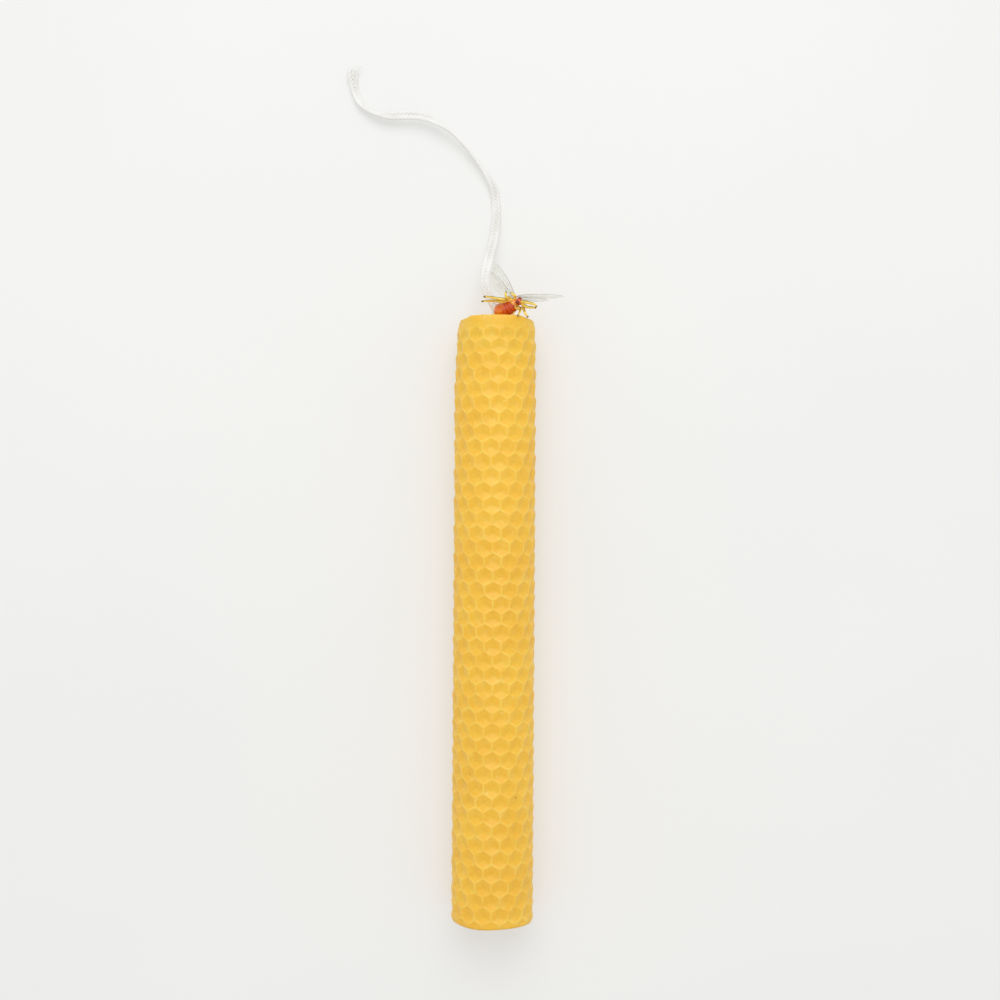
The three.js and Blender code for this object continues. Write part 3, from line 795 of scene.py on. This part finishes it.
# %% The walls: the last two rings of points in a cell are pulled out to make them steep and thin
FOOT_STEP, TOP_STEP = 1 - 2 / STEPS, 1 - 1 / STEPS
FOOT_SHARE, TOP_SHARE = 1 - WALL_FOOT / (CELL_PITCH / 2), 1 - WALL_TOP / (CELL_PITCH / 2)
to_foot = share * (FOOT_SHARE / FOOT_STEP)
to_top = (share - FOOT_STEP) * ((TOP_SHARE - FOOT_SHARE) / (TOP_STEP - FOOT_STEP)) + FOOT_SHARE
to_ridge = (share - TOP_STEP) * ((1 - TOP_SHARE) / (1 - TOP_STEP)) + TOP_SHARE
pulled = to_foot.at_most(to_top).at_most(to_ridge)
pull = (pulled / share.at_least(0.001) - 1) * inside * is_fine
along = along - from_x * pull
across = across + from_y * pull
near_x, near_y = from_x * (pull + 1), from_y * (pull + 1)

# %% The height of each point over the sheet's back
on_wall = share.above(TOP_STEP - 0.02)
on_ridge = share.above(0.98)
flat_place = joined(comb, along, across, 0.0)
rise = floor_rise(near_x, near_y)
floor = given["Cell floor"] + rise * (given["Cell crest"] - given["Cell floor"])
wall = given["Cell crest"] - (1 - on_ridge) * RIDGE_STEP - (1 - rise).at_least(0.0) * 2 * WALL_DIP
worn = (tree_noise(comb, flat_place, 700.0) * 2 - tree_noise(comb, flat_place, 190.0).absolute() * 5)
worn = worn * on_wall * given["Handling"]
relief = floor * (1 - on_wall) + wall * on_wall + worn
before_seam = SHEET_LENGTH - along
past_seam = (along - UNDER_SEAM).smooth_step(0.6 * MM, 1.8 * MM)
off_land = before_seam.smooth_step(0.9 * MM, 2.0 * MM)
off_rims = across.smooth_step(0.2 * MM, 1.7 * MM) * (SHEET_WIDTH - across).smooth_step(1.8 * MM, 7.5 * MM)
embossed = off_land * (off_rims * (past_seam * 0.6 + 0.4) + (1 - past_seam) * 0.6)
land = before_seam.smooth_step(0.0, SEAM_LAND) * (WAX_THICKNESS - SEAM_THICKNESS) + SEAM_THICKNESS
plain = off_land * RIM_THICKNESS + (1 - off_land) * land
hand = tree_noise(comb, flat_place, 90.0) * given["Handling"] * 2
level = relief * embossed + plain * (1 - embossed) + hand * off_land
level = level.at_most(past_seam * MM + HIDDEN_CREST) - drawn_in(along, across) * past_seam
back = tree_noise(comb, flat_place, 260.0) * BACK_UNEVEN * off_land
height = level.at_least(LEAST_WAX) * is_face + back * (1 - is_face)

# %% Roll the sheet up and keep what the shader needs
# The crest share makes the crests paler, rubbed and with a painted highlight; the pit share puts painted shade
# in the pits.
crest = store(comb, thinned.outputs[0], "crest", on_wall * embossed * is_face)
pit = store(comb, crest, "pit", (1 - share) * embossed * is_face)
true_along, true_across = stretched(along, across)
placed = rolled_up(comb, true_along, level_ends(comb, along, true_across), height)
turned_out = add_node(comb, "GeometryNodeFlipFaces", moved_to(comb, pit, placed))  # rolling turned them in
finish_tree(comb, turned_out.outputs[0], given["Material"])
print(f"honeycomb sheet: {COLUMNS} by {ROWS} steps, {len(comb.nodes)} nodes in the tree")

# %% [markdown]
# Beeswax is a satin, slightly translucent yellow. Light goes in and comes out again a little deeper in
# colour, which subsurface scattering gives. The crests of the walls have been rubbed paler and also carry a
# painted highlight, the pits get a deeper colour that is painted shade, a faint whitish bloom lies over it in
# patches, and a few crumbs stick to it.

# %% Beeswax
beeswax, tree, place, tone = new_material(
    "beeswax", 55.0, (0.90, 0.48, 0.024), (0.95, 0.54, 0.034), subsurface_weight=0.25,
    subsurface_radius=(1.0, 0.5, 0.15), subsurface_scale=2 * MM, specular_ior_level=0.6)
rubbing_and_highlight = noise(tree, place, 220.0).smooth_step(0.35, 0.7) * 0.5 + 0.2
WAX_LAYERS = [  # how much of a layer shows where, and its colour
    # painted shade: a deeper colour in the pits
    (stored(tree, "pit") * 0.35, (0.88, 0.46, 0.015)),
    # rubbed paler crests, with a painted highlight
    (stored(tree, "crest") * rubbing_and_highlight, (1.0, 0.68, 0.12)),
    (noise(tree, place, 300.0, 5.0).smooth_step(0.5, 0.72) * 0.12, (0.96, 0.76, 0.3)),
    (noise(tree, place, 1100.0, 2.0).smooth_step(0.42, 0.66) * 0.22, (1.0, 0.66, 0.09)),
    (speck_mask(tree, place, 620.0, 0.09, 0.22) * 0.4, (1.0, 0.84, 0.36)),
    (speck_mask(tree, place, 330.0, 0.05, 0.12) * 0.85, (0.4, 0.16, 0.02)),
]
for share_shown, colour in WAX_LAYERS:
    tone = blend_colours(tree, share_shown, tone, colour)
finish_material(tree, place, tone, 2200.0, 0.46, 0.25, 0.14 * MM, 0.6)

sheet = grow("rolled_sheet", comb, beeswax)
dress(sheet, "candle", "wax_sheet")

# %% [markdown]
# ## The bee
# The bee is about as long as a thumbnail. Its body is three clear, coloured resin beads, its legs and feelers
# are gold strands with dark tips and painted shade along one side, and its wings are clear film. All its
# pieces ride together on the body that is pulled out of the wax.

# %% The bee's bearings
WAIST_HEADING, WAIST_RISE = math.radians(50), math.radians(30)
NECK_HEADING, NECK_RISE = math.radians(18), math.radians(40)
ABDOMEN_LENGTH = 8.4 * MM
ABDOMEN_RADIUS = 2.3 * MM
ABDOMEN_BLUNTNESS = 3
ABDOMEN_BEND = math.radians(58)
WAIST_SEAT = 0.95 * MM
THORAX_RADIUS = 1.8 * MM
NECK_SEAT = 0.6 * MM
HEAD_RADIUS = 1.22 * MM
EYE_RADIUS = 0.68 * MM
EYE_INSET = 0.3 * MM


def facing(heading, rise):
    return Vector((math.cos(rise) * math.cos(heading), math.cos(rise) * math.sin(heading), math.sin(rise)))


THORAX_AT = from_tip(5.67, 4.34, 6.37)
forward = facing(WAIST_HEADING, WAIST_RISE)
WAIST_AT = THORAX_AT + forward * WAIST_SEAT
HEAD_AT = THORAX_AT + facing(NECK_HEADING, NECK_RISE) * (THORAX_RADIUS + HEAD_RADIUS - NECK_SEAT)
print("thorax", [round(v / MM, 2) for v in THORAX_AT], "head", [round(v / MM, 2) for v in HEAD_AT])

# %% [markdown]
# Each bead is a profile turned round an axis. The profile is a list of (distance along the axis, radius)
# and starts and ends on the axis, so the mesh closes at both poles. The axis may be bent to an arc, which
# gives the abdomen its curl.

# %% A turned bead
def mesh_piece(name, mesh, material):
    """A smooth piece from mesh data that is being edited."""
    for face in mesh.faces:
        face.smooth = True
    data = bpy.data.meshes.new(name)
    mesh.to_mesh(data)
    mesh.free()
    data.materials.append(material)
    print(f"{name}: {len(data.vertices)} points")
    return new_object(name, data)


def straight_axis(centre, axis):
    """Says where the axis is at a distance along it, with two directions square to it."""
    turn = axis.to_track_quat("Z", "Y").to_matrix()
    across, upward = turn @ Vector((1, 0, 0)), turn @ Vector((0, 1, 0))
    return lambda along: (centre + turn @ Vector((0, 0, along)), across, upward)


def bent_axis(start, axis, towards, radius):
    """The same for an axis that runs back from start on an arc, and bends the way towards points."""
    def at(along):
        angle = -along / radius
        place = start - axis * (radius * math.sin(angle)) + towards * (radius * (1 - math.cos(angle)))
        side = towards * math.cos(angle) + axis * math.sin(angle)
        return place, side, axis.cross(towards)
    return at


BULGE_TURN = math.radians(145)  # from the axis's first direction


def turned_bead(name, profile, axis_at, material, sides=64, bulge=0.0):
    """The bead as a closed mesh. A bulge makes it that much fuller on one side."""
    mesh = bmesh.new()
    angles = [math.tau * i / sides for i in range(sides)]
    fuller = [1 + bulge * max(math.cos(a - BULGE_TURN), 0.0) for a in angles]
    first, *rings, last = profile
    poles = [mesh.verts.new(axis_at(end[0])[0]) for end in (first, last)]
    made = []
    for along, radius in rings:
        place, right, up = axis_at(along)
        spokes = [(right * math.cos(a) + up * math.sin(a)) * full for a, full in zip(angles, fuller)]
        made.append([mesh.verts.new(place + spoke * radius) for spoke in spokes])
    for i in range(sides):
        j = (i + 1) % sides
        mesh.faces.new((poles[0], made[0][j], made[0][i]))
        mesh.faces.new((poles[1], made[-1][i], made[-1][j]))
        for low, high in zip(made, made[1:]):
            mesh.faces.new((low[i], low[j], high[j], high[i]))
    return mesh_piece(name, mesh, material)


def ball_profile(radius, steps=32, ridges=0, ridge=0.0):
    """Half a circle from pole to pole, with fine ridges round its middle where they are asked for."""
    profile = []
    for i in range(steps + 1):
        share = i / steps
        swell = ridge * math.sin(math.pi * share) * math.cos(math.tau * ridges * share) if ridges else 0.0
        size = radius + swell
        profile.append((-size * math.cos(math.pi * share), size * math.sin(math.pi * share)))
    return profile


# %% [markdown]
# The abdomen is a blunt barrel, curled round the thorax that it carries. Each ring of its shell laps over the
# next one, so the profile swells slowly along a ring and steps in at its end.

# %% The profile of the abdomen
RING_ENDS = [0.42, 0.585, 0.75, 0.885]
RING_STEP = 0.15 * MM
RING_GROOVE = 0.02


def abdomen_profile(steps=150):
    profile = []
    for i in range(steps + 1):
        share = (1 - math.cos(math.pi * i / steps)) / 2
        barrel = max(1 - abs(2 * share - 1) ** ABDOMEN_BLUNTNESS, 0.0) ** (1 / ABDOMEN_BLUNTNESS)
        start = max([0.0] + [e for e in RING_ENDS if e <= share])
        end = min([e for e in RING_ENDS + [1.01] if e > share])
        swell = ((share - start) / (end - start) - 0.5) * RING_STEP
        nearest = min(abs(share - e) for e in RING_ENDS)
        groove = max(0.0, 1 - nearest / RING_GROOVE) * RING_STEP
        profile.append((ABDOMEN_LENGTH * (share - 1), max(ABDOMEN_RADIUS + swell - groove, 0.0) * barrel))
    return profile


print("abdomen profile:", len(abdomen_profile()), "points")

# %% [markdown]
# The resin of the body is clear and strongly coloured: it glows where it is thin and is dark along the rings.
# Painted shade darkens the side of each bead that faces away from the candle, and on the abdomen also the side
# that faces right and back towards the candle. The dark marks are values stored on the mesh, worked out from
# place and direction.

# %% Resin for the body
def resin(name, first, second, deep, dark):
    made, tree, place, tone = new_material(
        name, 900.0, first, second, coat_weight=0.25, coat_roughness=0.1, subsurface_weight=0.2,
        subsurface_radius=(1.0, 0.3, 0.1), subsurface_scale=1 * MM)
    deepened = blend_colours(tree, stored(tree, "deep"), tone, deep)
    # The dark marks are real rings and stripes and also painted shade.
    marked = blend_colours(tree, stored(tree, "dark"), deepened, dark)
    finish_material(tree, place, marked, 5000.0, 0.25, 0.15, 0.02 * MM, 0.3)
    return made


def mark(piece, name, share):
    """Stores a share of 0 to 1 at each point, worked out from its place and its normal."""
    mesh = piece.data
    values = mesh.attributes.new(name, "FLOAT", "POINT")
    for vertex in mesh.vertices:
        values.data[vertex.index].value = min(max(share(vertex.co, vertex.normal), 0.0), 1.0)


def ramp(value, low, high):
    """0 below low, 1 above high."""
    return min(max((value - low) / (high - low), 0.0), 1.0)


RESINS = {  # two tones, the deeper colour and the dark one
    "amber_resin": [(0.7, 0.13, 0.01), (0.86, 0.26, 0.03), (0.66, 0.075, 0.01), (0.24, 0.008, 0.002)],
    "honey_resin": [(0.84, 0.3, 0.03), (0.92, 0.44, 0.07), (0.8, 0.2, 0.03), (0.3, 0.06, 0.01)],
    "garnet_bead": [(0.2, 0.012, 0.006), (0.3, 0.02, 0.008), (0.2, 0.01, 0.005), (0.05, 0.003, 0.002)],
}
amber, honey, garnet = [resin(name, *colours) for name, colours in RESINS.items()]

# %% Abdomen
inward = facing(WAIST_HEADING + math.pi / 2, 0)
ABDOMEN_ARC = ABDOMEN_LENGTH / ABDOMEN_BEND
curl = bent_axis(WAIST_AT, forward, inward, ABDOMEN_ARC)
abdomen = turned_bead("abdomen", abdomen_profile(), curl, amber, bulge=0.15)


def share_of_abdomen(place):
    """0 at the tail and 1 at the waist, measured round the arc."""
    from_centre = place - (WAIST_AT + inward * ABDOMEN_ARC)
    angle = math.atan2(-from_centre.dot(forward), -from_centre.dot(inward))
    return 1 - angle * ABDOMEN_ARC / ABDOMEN_LENGTH


def abdomen_rings_and_shade(place, normal):
    nearest = min(abs(share_of_abdomen(place) - end) for end in RING_ENDS[1:])
    ring = 1 - ramp(nearest, 0.008, 0.028)
    # Painted shade on the back, which faces away from the candle, and on the side facing right and back
    # towards it.
    back = ramp(normal.dot(Vector((-0.2, 0.98, 0))), 0.62, 0.85)
    front = ramp(normal.dot(Vector((0.7, -0.7, 0))), 0.8, 0.95)
    return max(ring * 0.6, back * 0.85, front * 0.5)


mark(abdomen, "dark", abdomen_rings_and_shade)
mark(abdomen, "deep", lambda place, normal: ramp(share_of_abdomen(place), 0.35, 0.62) * 0.9)
dress(abdomen, "bee", "bee_abdomen")

# %% Thorax and head
thorax_profile = ball_profile(THORAX_RADIUS, 64, 5, 0.06 * MM)
thorax = turned_bead("thorax", thorax_profile, straight_axis(THORAX_AT, forward), honey)


def thorax_stripes_and_shade(place, normal):
    share = (place - THORAX_AT).dot(forward) / THORAX_RADIUS
    stripe = 0.5 + 0.5 * math.cos(math.tau * 2.5 * share + 1.2)
    # The stripes are the thorax's own ring lines; the rest is painted shade on its side away from the candle.
    return ramp(stripe, 0.72, 0.95) * 0.35 + ramp(normal.y, 0.75, 0.95) * 0.3


mark(thorax, "dark", thorax_stripes_and_shade)
dress(thorax, "bee", "bee_thorax")

neck = facing(NECK_HEADING, NECK_RISE)
head = turned_bead("head", ball_profile(HEAD_RADIUS, 40), straight_axis(HEAD_AT, neck), amber)
# Painted shade on the side of the head that faces away from the candle.
mark(head, "dark", lambda place, normal: ramp(normal.y, 0.6, 0.9) * 0.7)
mark(head, "deep", lambda place, normal: 0.8)
dress(head, "bee", "bee_head")

# %% Eyes
EYE_SIDES = {"right": Vector((-0.5, -0.3, 0.85)), "left": Vector((0.2, 0.85, 0.35))}
for side, direction in EYE_SIDES.items():
    middle = HEAD_AT + direction.normalized() * (HEAD_RADIUS - EYE_INSET)
    axis_at = straight_axis(middle, direction)
    eye = turned_bead(f"eye_{side}", ball_profile(EYE_RADIUS, 24), axis_at, garnet, sides=32)
    # Painted shade on the side of each eye that faces away from the candle.
    mark(eye, "dark", lambda place, normal: ramp(normal.y, 0.5, 0.9))
    dress(eye, "bee", f"bee_eye_{side}")

# %% [markdown]
# ## Legs and feelers
# They all are one kind of strand, thick near the body, thin near the tip and slightly swollen at two joints.
# The gilt has dark tips, and painted shade darkens the side of each strand that faces away from the candle.

# %% Gilt strand
gilt, tree, place, tone = new_material(
    "gilt_strand", 1300.0, (0.94, 0.62, 0.07), (1.0, 0.8, 0.17),
    coat_weight=0.3, coat_roughness=0.15, metallic=0.35)
# Dark tips are the strands' own colour; the edge share adds painted shade on the side that faces away from the
# candle.
dark_tip_and_shade_share = (stored(tree, "along").smooth_step(0.88, 0.94)).at_least(stored(tree, "edge")) * 0.85
tips_and_painted_shade = blend_colours(tree, dark_tip_and_shade_share, tone, (0.13, 0.07, 0.01))
finish_material(tree, place, tips_and_painted_shade, 4200.0, 0.32, 0.2, 0.03 * MM)


def rooted(centre, radius, direction, *bends):
    """A smooth path out of a bead: square to its skin at first, then through the bends."""
    out = Vector(direction).normalized()
    root = [centre + out * (radius * 0.8), centre + out * (radius + 0.7 * MM)]
    return smooth_route(root + [from_tip(*bend) for bend in bends], 16)


# %% Six legs and two feelers
LEGS = {
    "hind_right": [(-0.8, 0.55, 0.3), (2.1, 5.6, 8.5), (-0.6, 6.0, 8.6), (-3.2, 6.5, 8.0), (-4.5, 6.5, 7.7)],
    "hind_left": [(-0.85, 0.35, 0.15), (2.1, 4.9, 7.4), (0.1, 5.2, 6.9), (-2.9, 5.3, 6.4), (-5.2, 5.2, 5.9)],
    "middle_right": [(-0.55, 0.75, 0.35), (3.5, 6.0, 8.8), (2.9, 6.9, 9.5), (3.1, 8.1, 9.4)],
    "middle_left": [(0.2, 0.95, 0.3), (6.1, 6.7, 8.2), (5.4, 7.3, 8.6), (4.6, 8.0, 8.5)],
    "front_right": [(0.45, -0.7, 0.65), (7.9, 2.5, 9.2), (7.6, 0.9, 11.6), (6.9, -0.6, 12.3)],
    "front_left": [(0.8, -0.55, 0.1), (8.9, 2.7, 7.4), (9.5, 1.0, 8.4), (10.5, -0.5, 8.9)],
}
FEELERS = {
    "right": [(0.8, -0.1, 0.6), (11.0, 4.2, 9.8), (12.5, 3.8, 9.7), (13.4, 3.0, 9.2)],
    "left": [(0.8, -0.6, 0.0), (9.9, 3.2, 8.0), (11.7, 3.0, 8.0), (13.2, 2.9, 7.9)],
}
STRANDS = [("leg", "bee_leg", LEGS, THORAX_AT, THORAX_RADIUS),
           ("feeler", "bee_antenna", FEELERS, HEAD_AT, HEAD_RADIUS)]
for kind, node, routes, centre, radius in STRANDS:
    for side, (direction, *bends) in routes.items():
        limb = grow_strand(f"{kind}_{side}", rooted(centre, radius, direction, *bends), gilt)
        dress(limb, "bee", f"{node}_{side}")

# %% The stem under the bee
stem_low, stem_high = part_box("bee_stem")
STEM_RADIUS = (stem_high.x - stem_low.x) * 0.4  # a little thinner than the solid one
STEM_STEPS = 30
stem_run = THORAX_AT.y - stem_low.y
stem_ys = [stem_low.y + stem_run * i / STEM_STEPS for i in range(STEM_STEPS, -1, -1)]
stem_places = [Vector((THORAX_AT.x, y, THORAX_AT.z)) for y in stem_ys]
stem = grow_strand("stem", stem_places, gilt, {"Radius": STEM_RADIUS, "Tip share": 0.85})
dress(stem, "bee", "bee_stem")

# %% [markdown]
# ## Wings
# A wing is a sheet of clear film, a little cupped and rippled between its veins. Its outline is a formula:
# both edges swell from the root and close at the tip. The veins are thin strands that lie on the film.

# %% The shape of a wing
WING_FILM = 0.06 * MM
WING_SPAN_STEPS, WING_CHORD_STEPS = 48, 18


class Wing:
    """A wing from its root to its tip, with its front edge the way front points."""

    def __init__(self, root, tip, front, widths, curl=0.0, bow=0.0):
        self.root, self.length, self.curl, self.bow = root, (tip - root).length, curl, bow
        self.along = (tip - root).normalized()
        self.up = self.along.cross(Vector(front)).normalized()
        self.ahead = self.up.cross(self.along)
        self.front, self.rear = (width * MM for width in widths)

    def point(self, span, chord):
        """A place on the film: span is 0 at the root and 1 at the tip, chord from -1 to 1 at the front."""
        swell = 0.93 * math.sin(math.pi * min(span, 0.999) ** 1.2) ** 0.55
        width = (self.front if chord > 0 else self.rear) * swell + 0.25 * MM * (1 - span)
        cup = 0.45 * MM * math.sin(math.pi * span) * (1 - chord**2)
        ripple = 0.07 * MM * math.cos(chord * 11) * math.sin(math.pi * span)
        tip_curl = self.curl * MM * max(0.0, (span - 0.8) / 0.2) ** 2
        offset = self.along * (self.length * span) + self.ahead * (chord * width)
        bowed = Vector((0, self.bow * MM * math.sin(math.pi * span**0.35), 0))
        return self.root + offset + self.up * (cup + ripple + tip_curl) + bowed


def film_sheet(name, wing, material):
    """The film as a closed, very thin shell."""
    mesh = bmesh.new()
    grid = []
    for i in range(WING_SPAN_STEPS + 1):
        span = i / WING_SPAN_STEPS
        chords = [2 * j / WING_CHORD_STEPS - 1 for j in range(WING_CHORD_STEPS + 1)]
        grid.append([mesh.verts.new(wing.point(span, chord)) for chord in chords])
    for near, far in zip(grid, grid[1:]):
        for a, b, c, d in zip(near, near[1:], far[1:], far):
            mesh.faces.new((a, b, c, d))
    piece = mesh_piece(name, mesh, material)
    solid = piece.modifiers.new("thickness", "SOLIDIFY")
    solid.thickness, solid.offset = WING_FILM, 0.0
    return piece


# %% Film and vein
film, tree, place, tone = new_material(
    "clear_film", 420.0, (0.64, 0.68, 0.52), (0.78, 0.78, 0.68), coat_weight=0.4, coat_roughness=0.05)
cloud = noise(tree, place, 380.0).smooth_step(0.3, 0.75) * 0.1 + 0.09
tree.links.new(cloud.socket, tree.nodes["Principled BSDF"].inputs["Alpha"])
finish_material(tree, place, tone, 1500.0, 0.2, 0.1, 0.03 * MM, 0.3)

vein, tree, place, tone = new_material("wing_vein", 900.0, (0.3, 0.28, 0.24), (0.42, 0.4, 0.36), alpha=0.4)
finish_material(tree, place, tone, 3000.0, 0.35, 0.1, 0.02 * MM)
print("film and vein ready")


# %% Four wings with their veins
def on_thorax(direction):
    """A wing's root, just under the skin of the thorax."""
    return THORAX_AT + Vector(direction).normalized() * (THORAX_RADIUS * 0.92)


def vein_line(wing, start, chord_from, chord_to, reach):
    """A vein: it leaves the root and wanders from one share of the chord to another, as far as reach."""
    steps = 24
    line = []
    for i in range(steps + 1):
        share = i / steps
        chord = chord_from + (chord_to - chord_from) * share**0.8
        line.append(wing.point(start + (reach - start) * share, chord))
    return line


VEINS = [  # start, chord at the start, chord at the end, reach, radius in mm
    (0.0, 0.9, 0.99, 0.92, 0.12), (0.02, 0.4, 0.62, 0.86, 0.04), (0.02, 0.1, 0.18, 0.93, 0.035),
    (0.03, -0.2, -0.35, 0.86, 0.035), (0.05, -0.5, -0.7, 0.66, 0.03), (0.3, 0.5, 0.15, 0.5, 0.03),
    (0.42, -0.28, 0.2, 0.62, 0.03),
]
WINGS = {  # direction of the root on the thorax, tip, front, widths, curl, bow
    "forewing_right": [(0.3, 0.93, 0.1), (-1.6, 18.1, 9.6), (1, 0.6, 0), (1.4, 2.6), 0.5],
    "hindwing_right": [(-0.25, 0.95, -0.3), (-2.7, 15.1, 7.6), (1, 0.8, 0), (1.2, 2.6)],
    "forewing_left": [(0.35, 1, 0.1), (23.1, 7.1, 4.9), (0, 0.4, 1), (1.3, 1.7), 0, 0.95],
    "hindwing_left": [(0.45, 0.85, -0.5), (17.8, 6.1, 2.6), (0, 0.3, 1), (1.1, 1.8), 0, 0.5],
}
for name, (root, tip, *shape) in WINGS.items():
    wing = Wing(on_thorax(root), from_tip(*tip), *shape)
    dress(film_sheet(name, wing, film), "bee", f"bee_{name}")
    for number, (start, chord_from, chord_to, reach, radius) in enumerate(VEINS):
        path = vein_line(wing, start, chord_from, chord_to, reach)
        thread = grow_strand(f"{name}_vein_{number}", path, vein, {
            "Radius": radius * MM, "Sides": 6, "Spacing": 0.3 * MM, "Tip share": 0.4})
        dress(thread, "bee", f"bee_{name}")

# %% [markdown]
# ## The white table and the light
# The photograph has a nearly shadowless white ground. The table here is pale and also glows a little, so
# shadows and the yellow that the wax throws on it stay weak. The light is a white sky and one large soft
# lamp, high on the side where the wick lies.

# %% Table
TABLE_HALF = 2.0
floor_mesh = bpy.data.meshes.new("table")
corners = [(x * TABLE_HALF, y * TABLE_HALF, 0) for x, y in ((-1, -1), (1, -1), (1, 1), (-1, 1))]
floor_mesh.from_pydata(corners, [], [(0, 1, 2, 3)])
table = new_object("table", floor_mesh)
paint, tree, place, tone = new_material(
    "white_table", 6.0, (0.45, 0.455, 0.445), (0.465, 0.465, 0.455),
    emission_color=(1.0, 1.0, 0.985, 1), emission_strength=0.39)
finish_material(tree, place, tone, 900.0, 0.6, 0.1, 0.02 * MM, 0.2)
floor_mesh.materials.append(paint)

# %% Light
SKY_STRENGTH = 0.75
LAMP_SIDE = 0.75
LAMP_POWER = 4.0
LAMP_TILT = math.radians(37)
LAMP_DISTANCE = 1.0

world = bpy.data.worlds.new("studio")
bpy.context.scene.world = world
world.use_nodes = True
sky = world.node_tree.nodes["Background"]
sky.inputs["Color"].default_value = (1, 1, 1, 1)
sky.inputs["Strength"].default_value = SKY_STRENGTH
lamp = new_object("soft_lamp", bpy.data.lights.new("soft_lamp", "AREA"))
lamp.data.size = LAMP_SIDE
lamp.data.energy = LAMP_POWER
middle_of_candle = Vector((AXIS_X, (BASE_Y + TIP_Y) / 2, AXIS_Z))
lamp.location = middle_of_candle + Vector((0, math.sin(LAMP_TILT), math.cos(LAMP_TILT))) * LAMP_DISTANCE
lamp.rotation_euler = (middle_of_candle - lamp.location).to_track_quat("-Z", "Y").to_euler()
bpy.context.scene.view_settings.view_transform = "Standard"
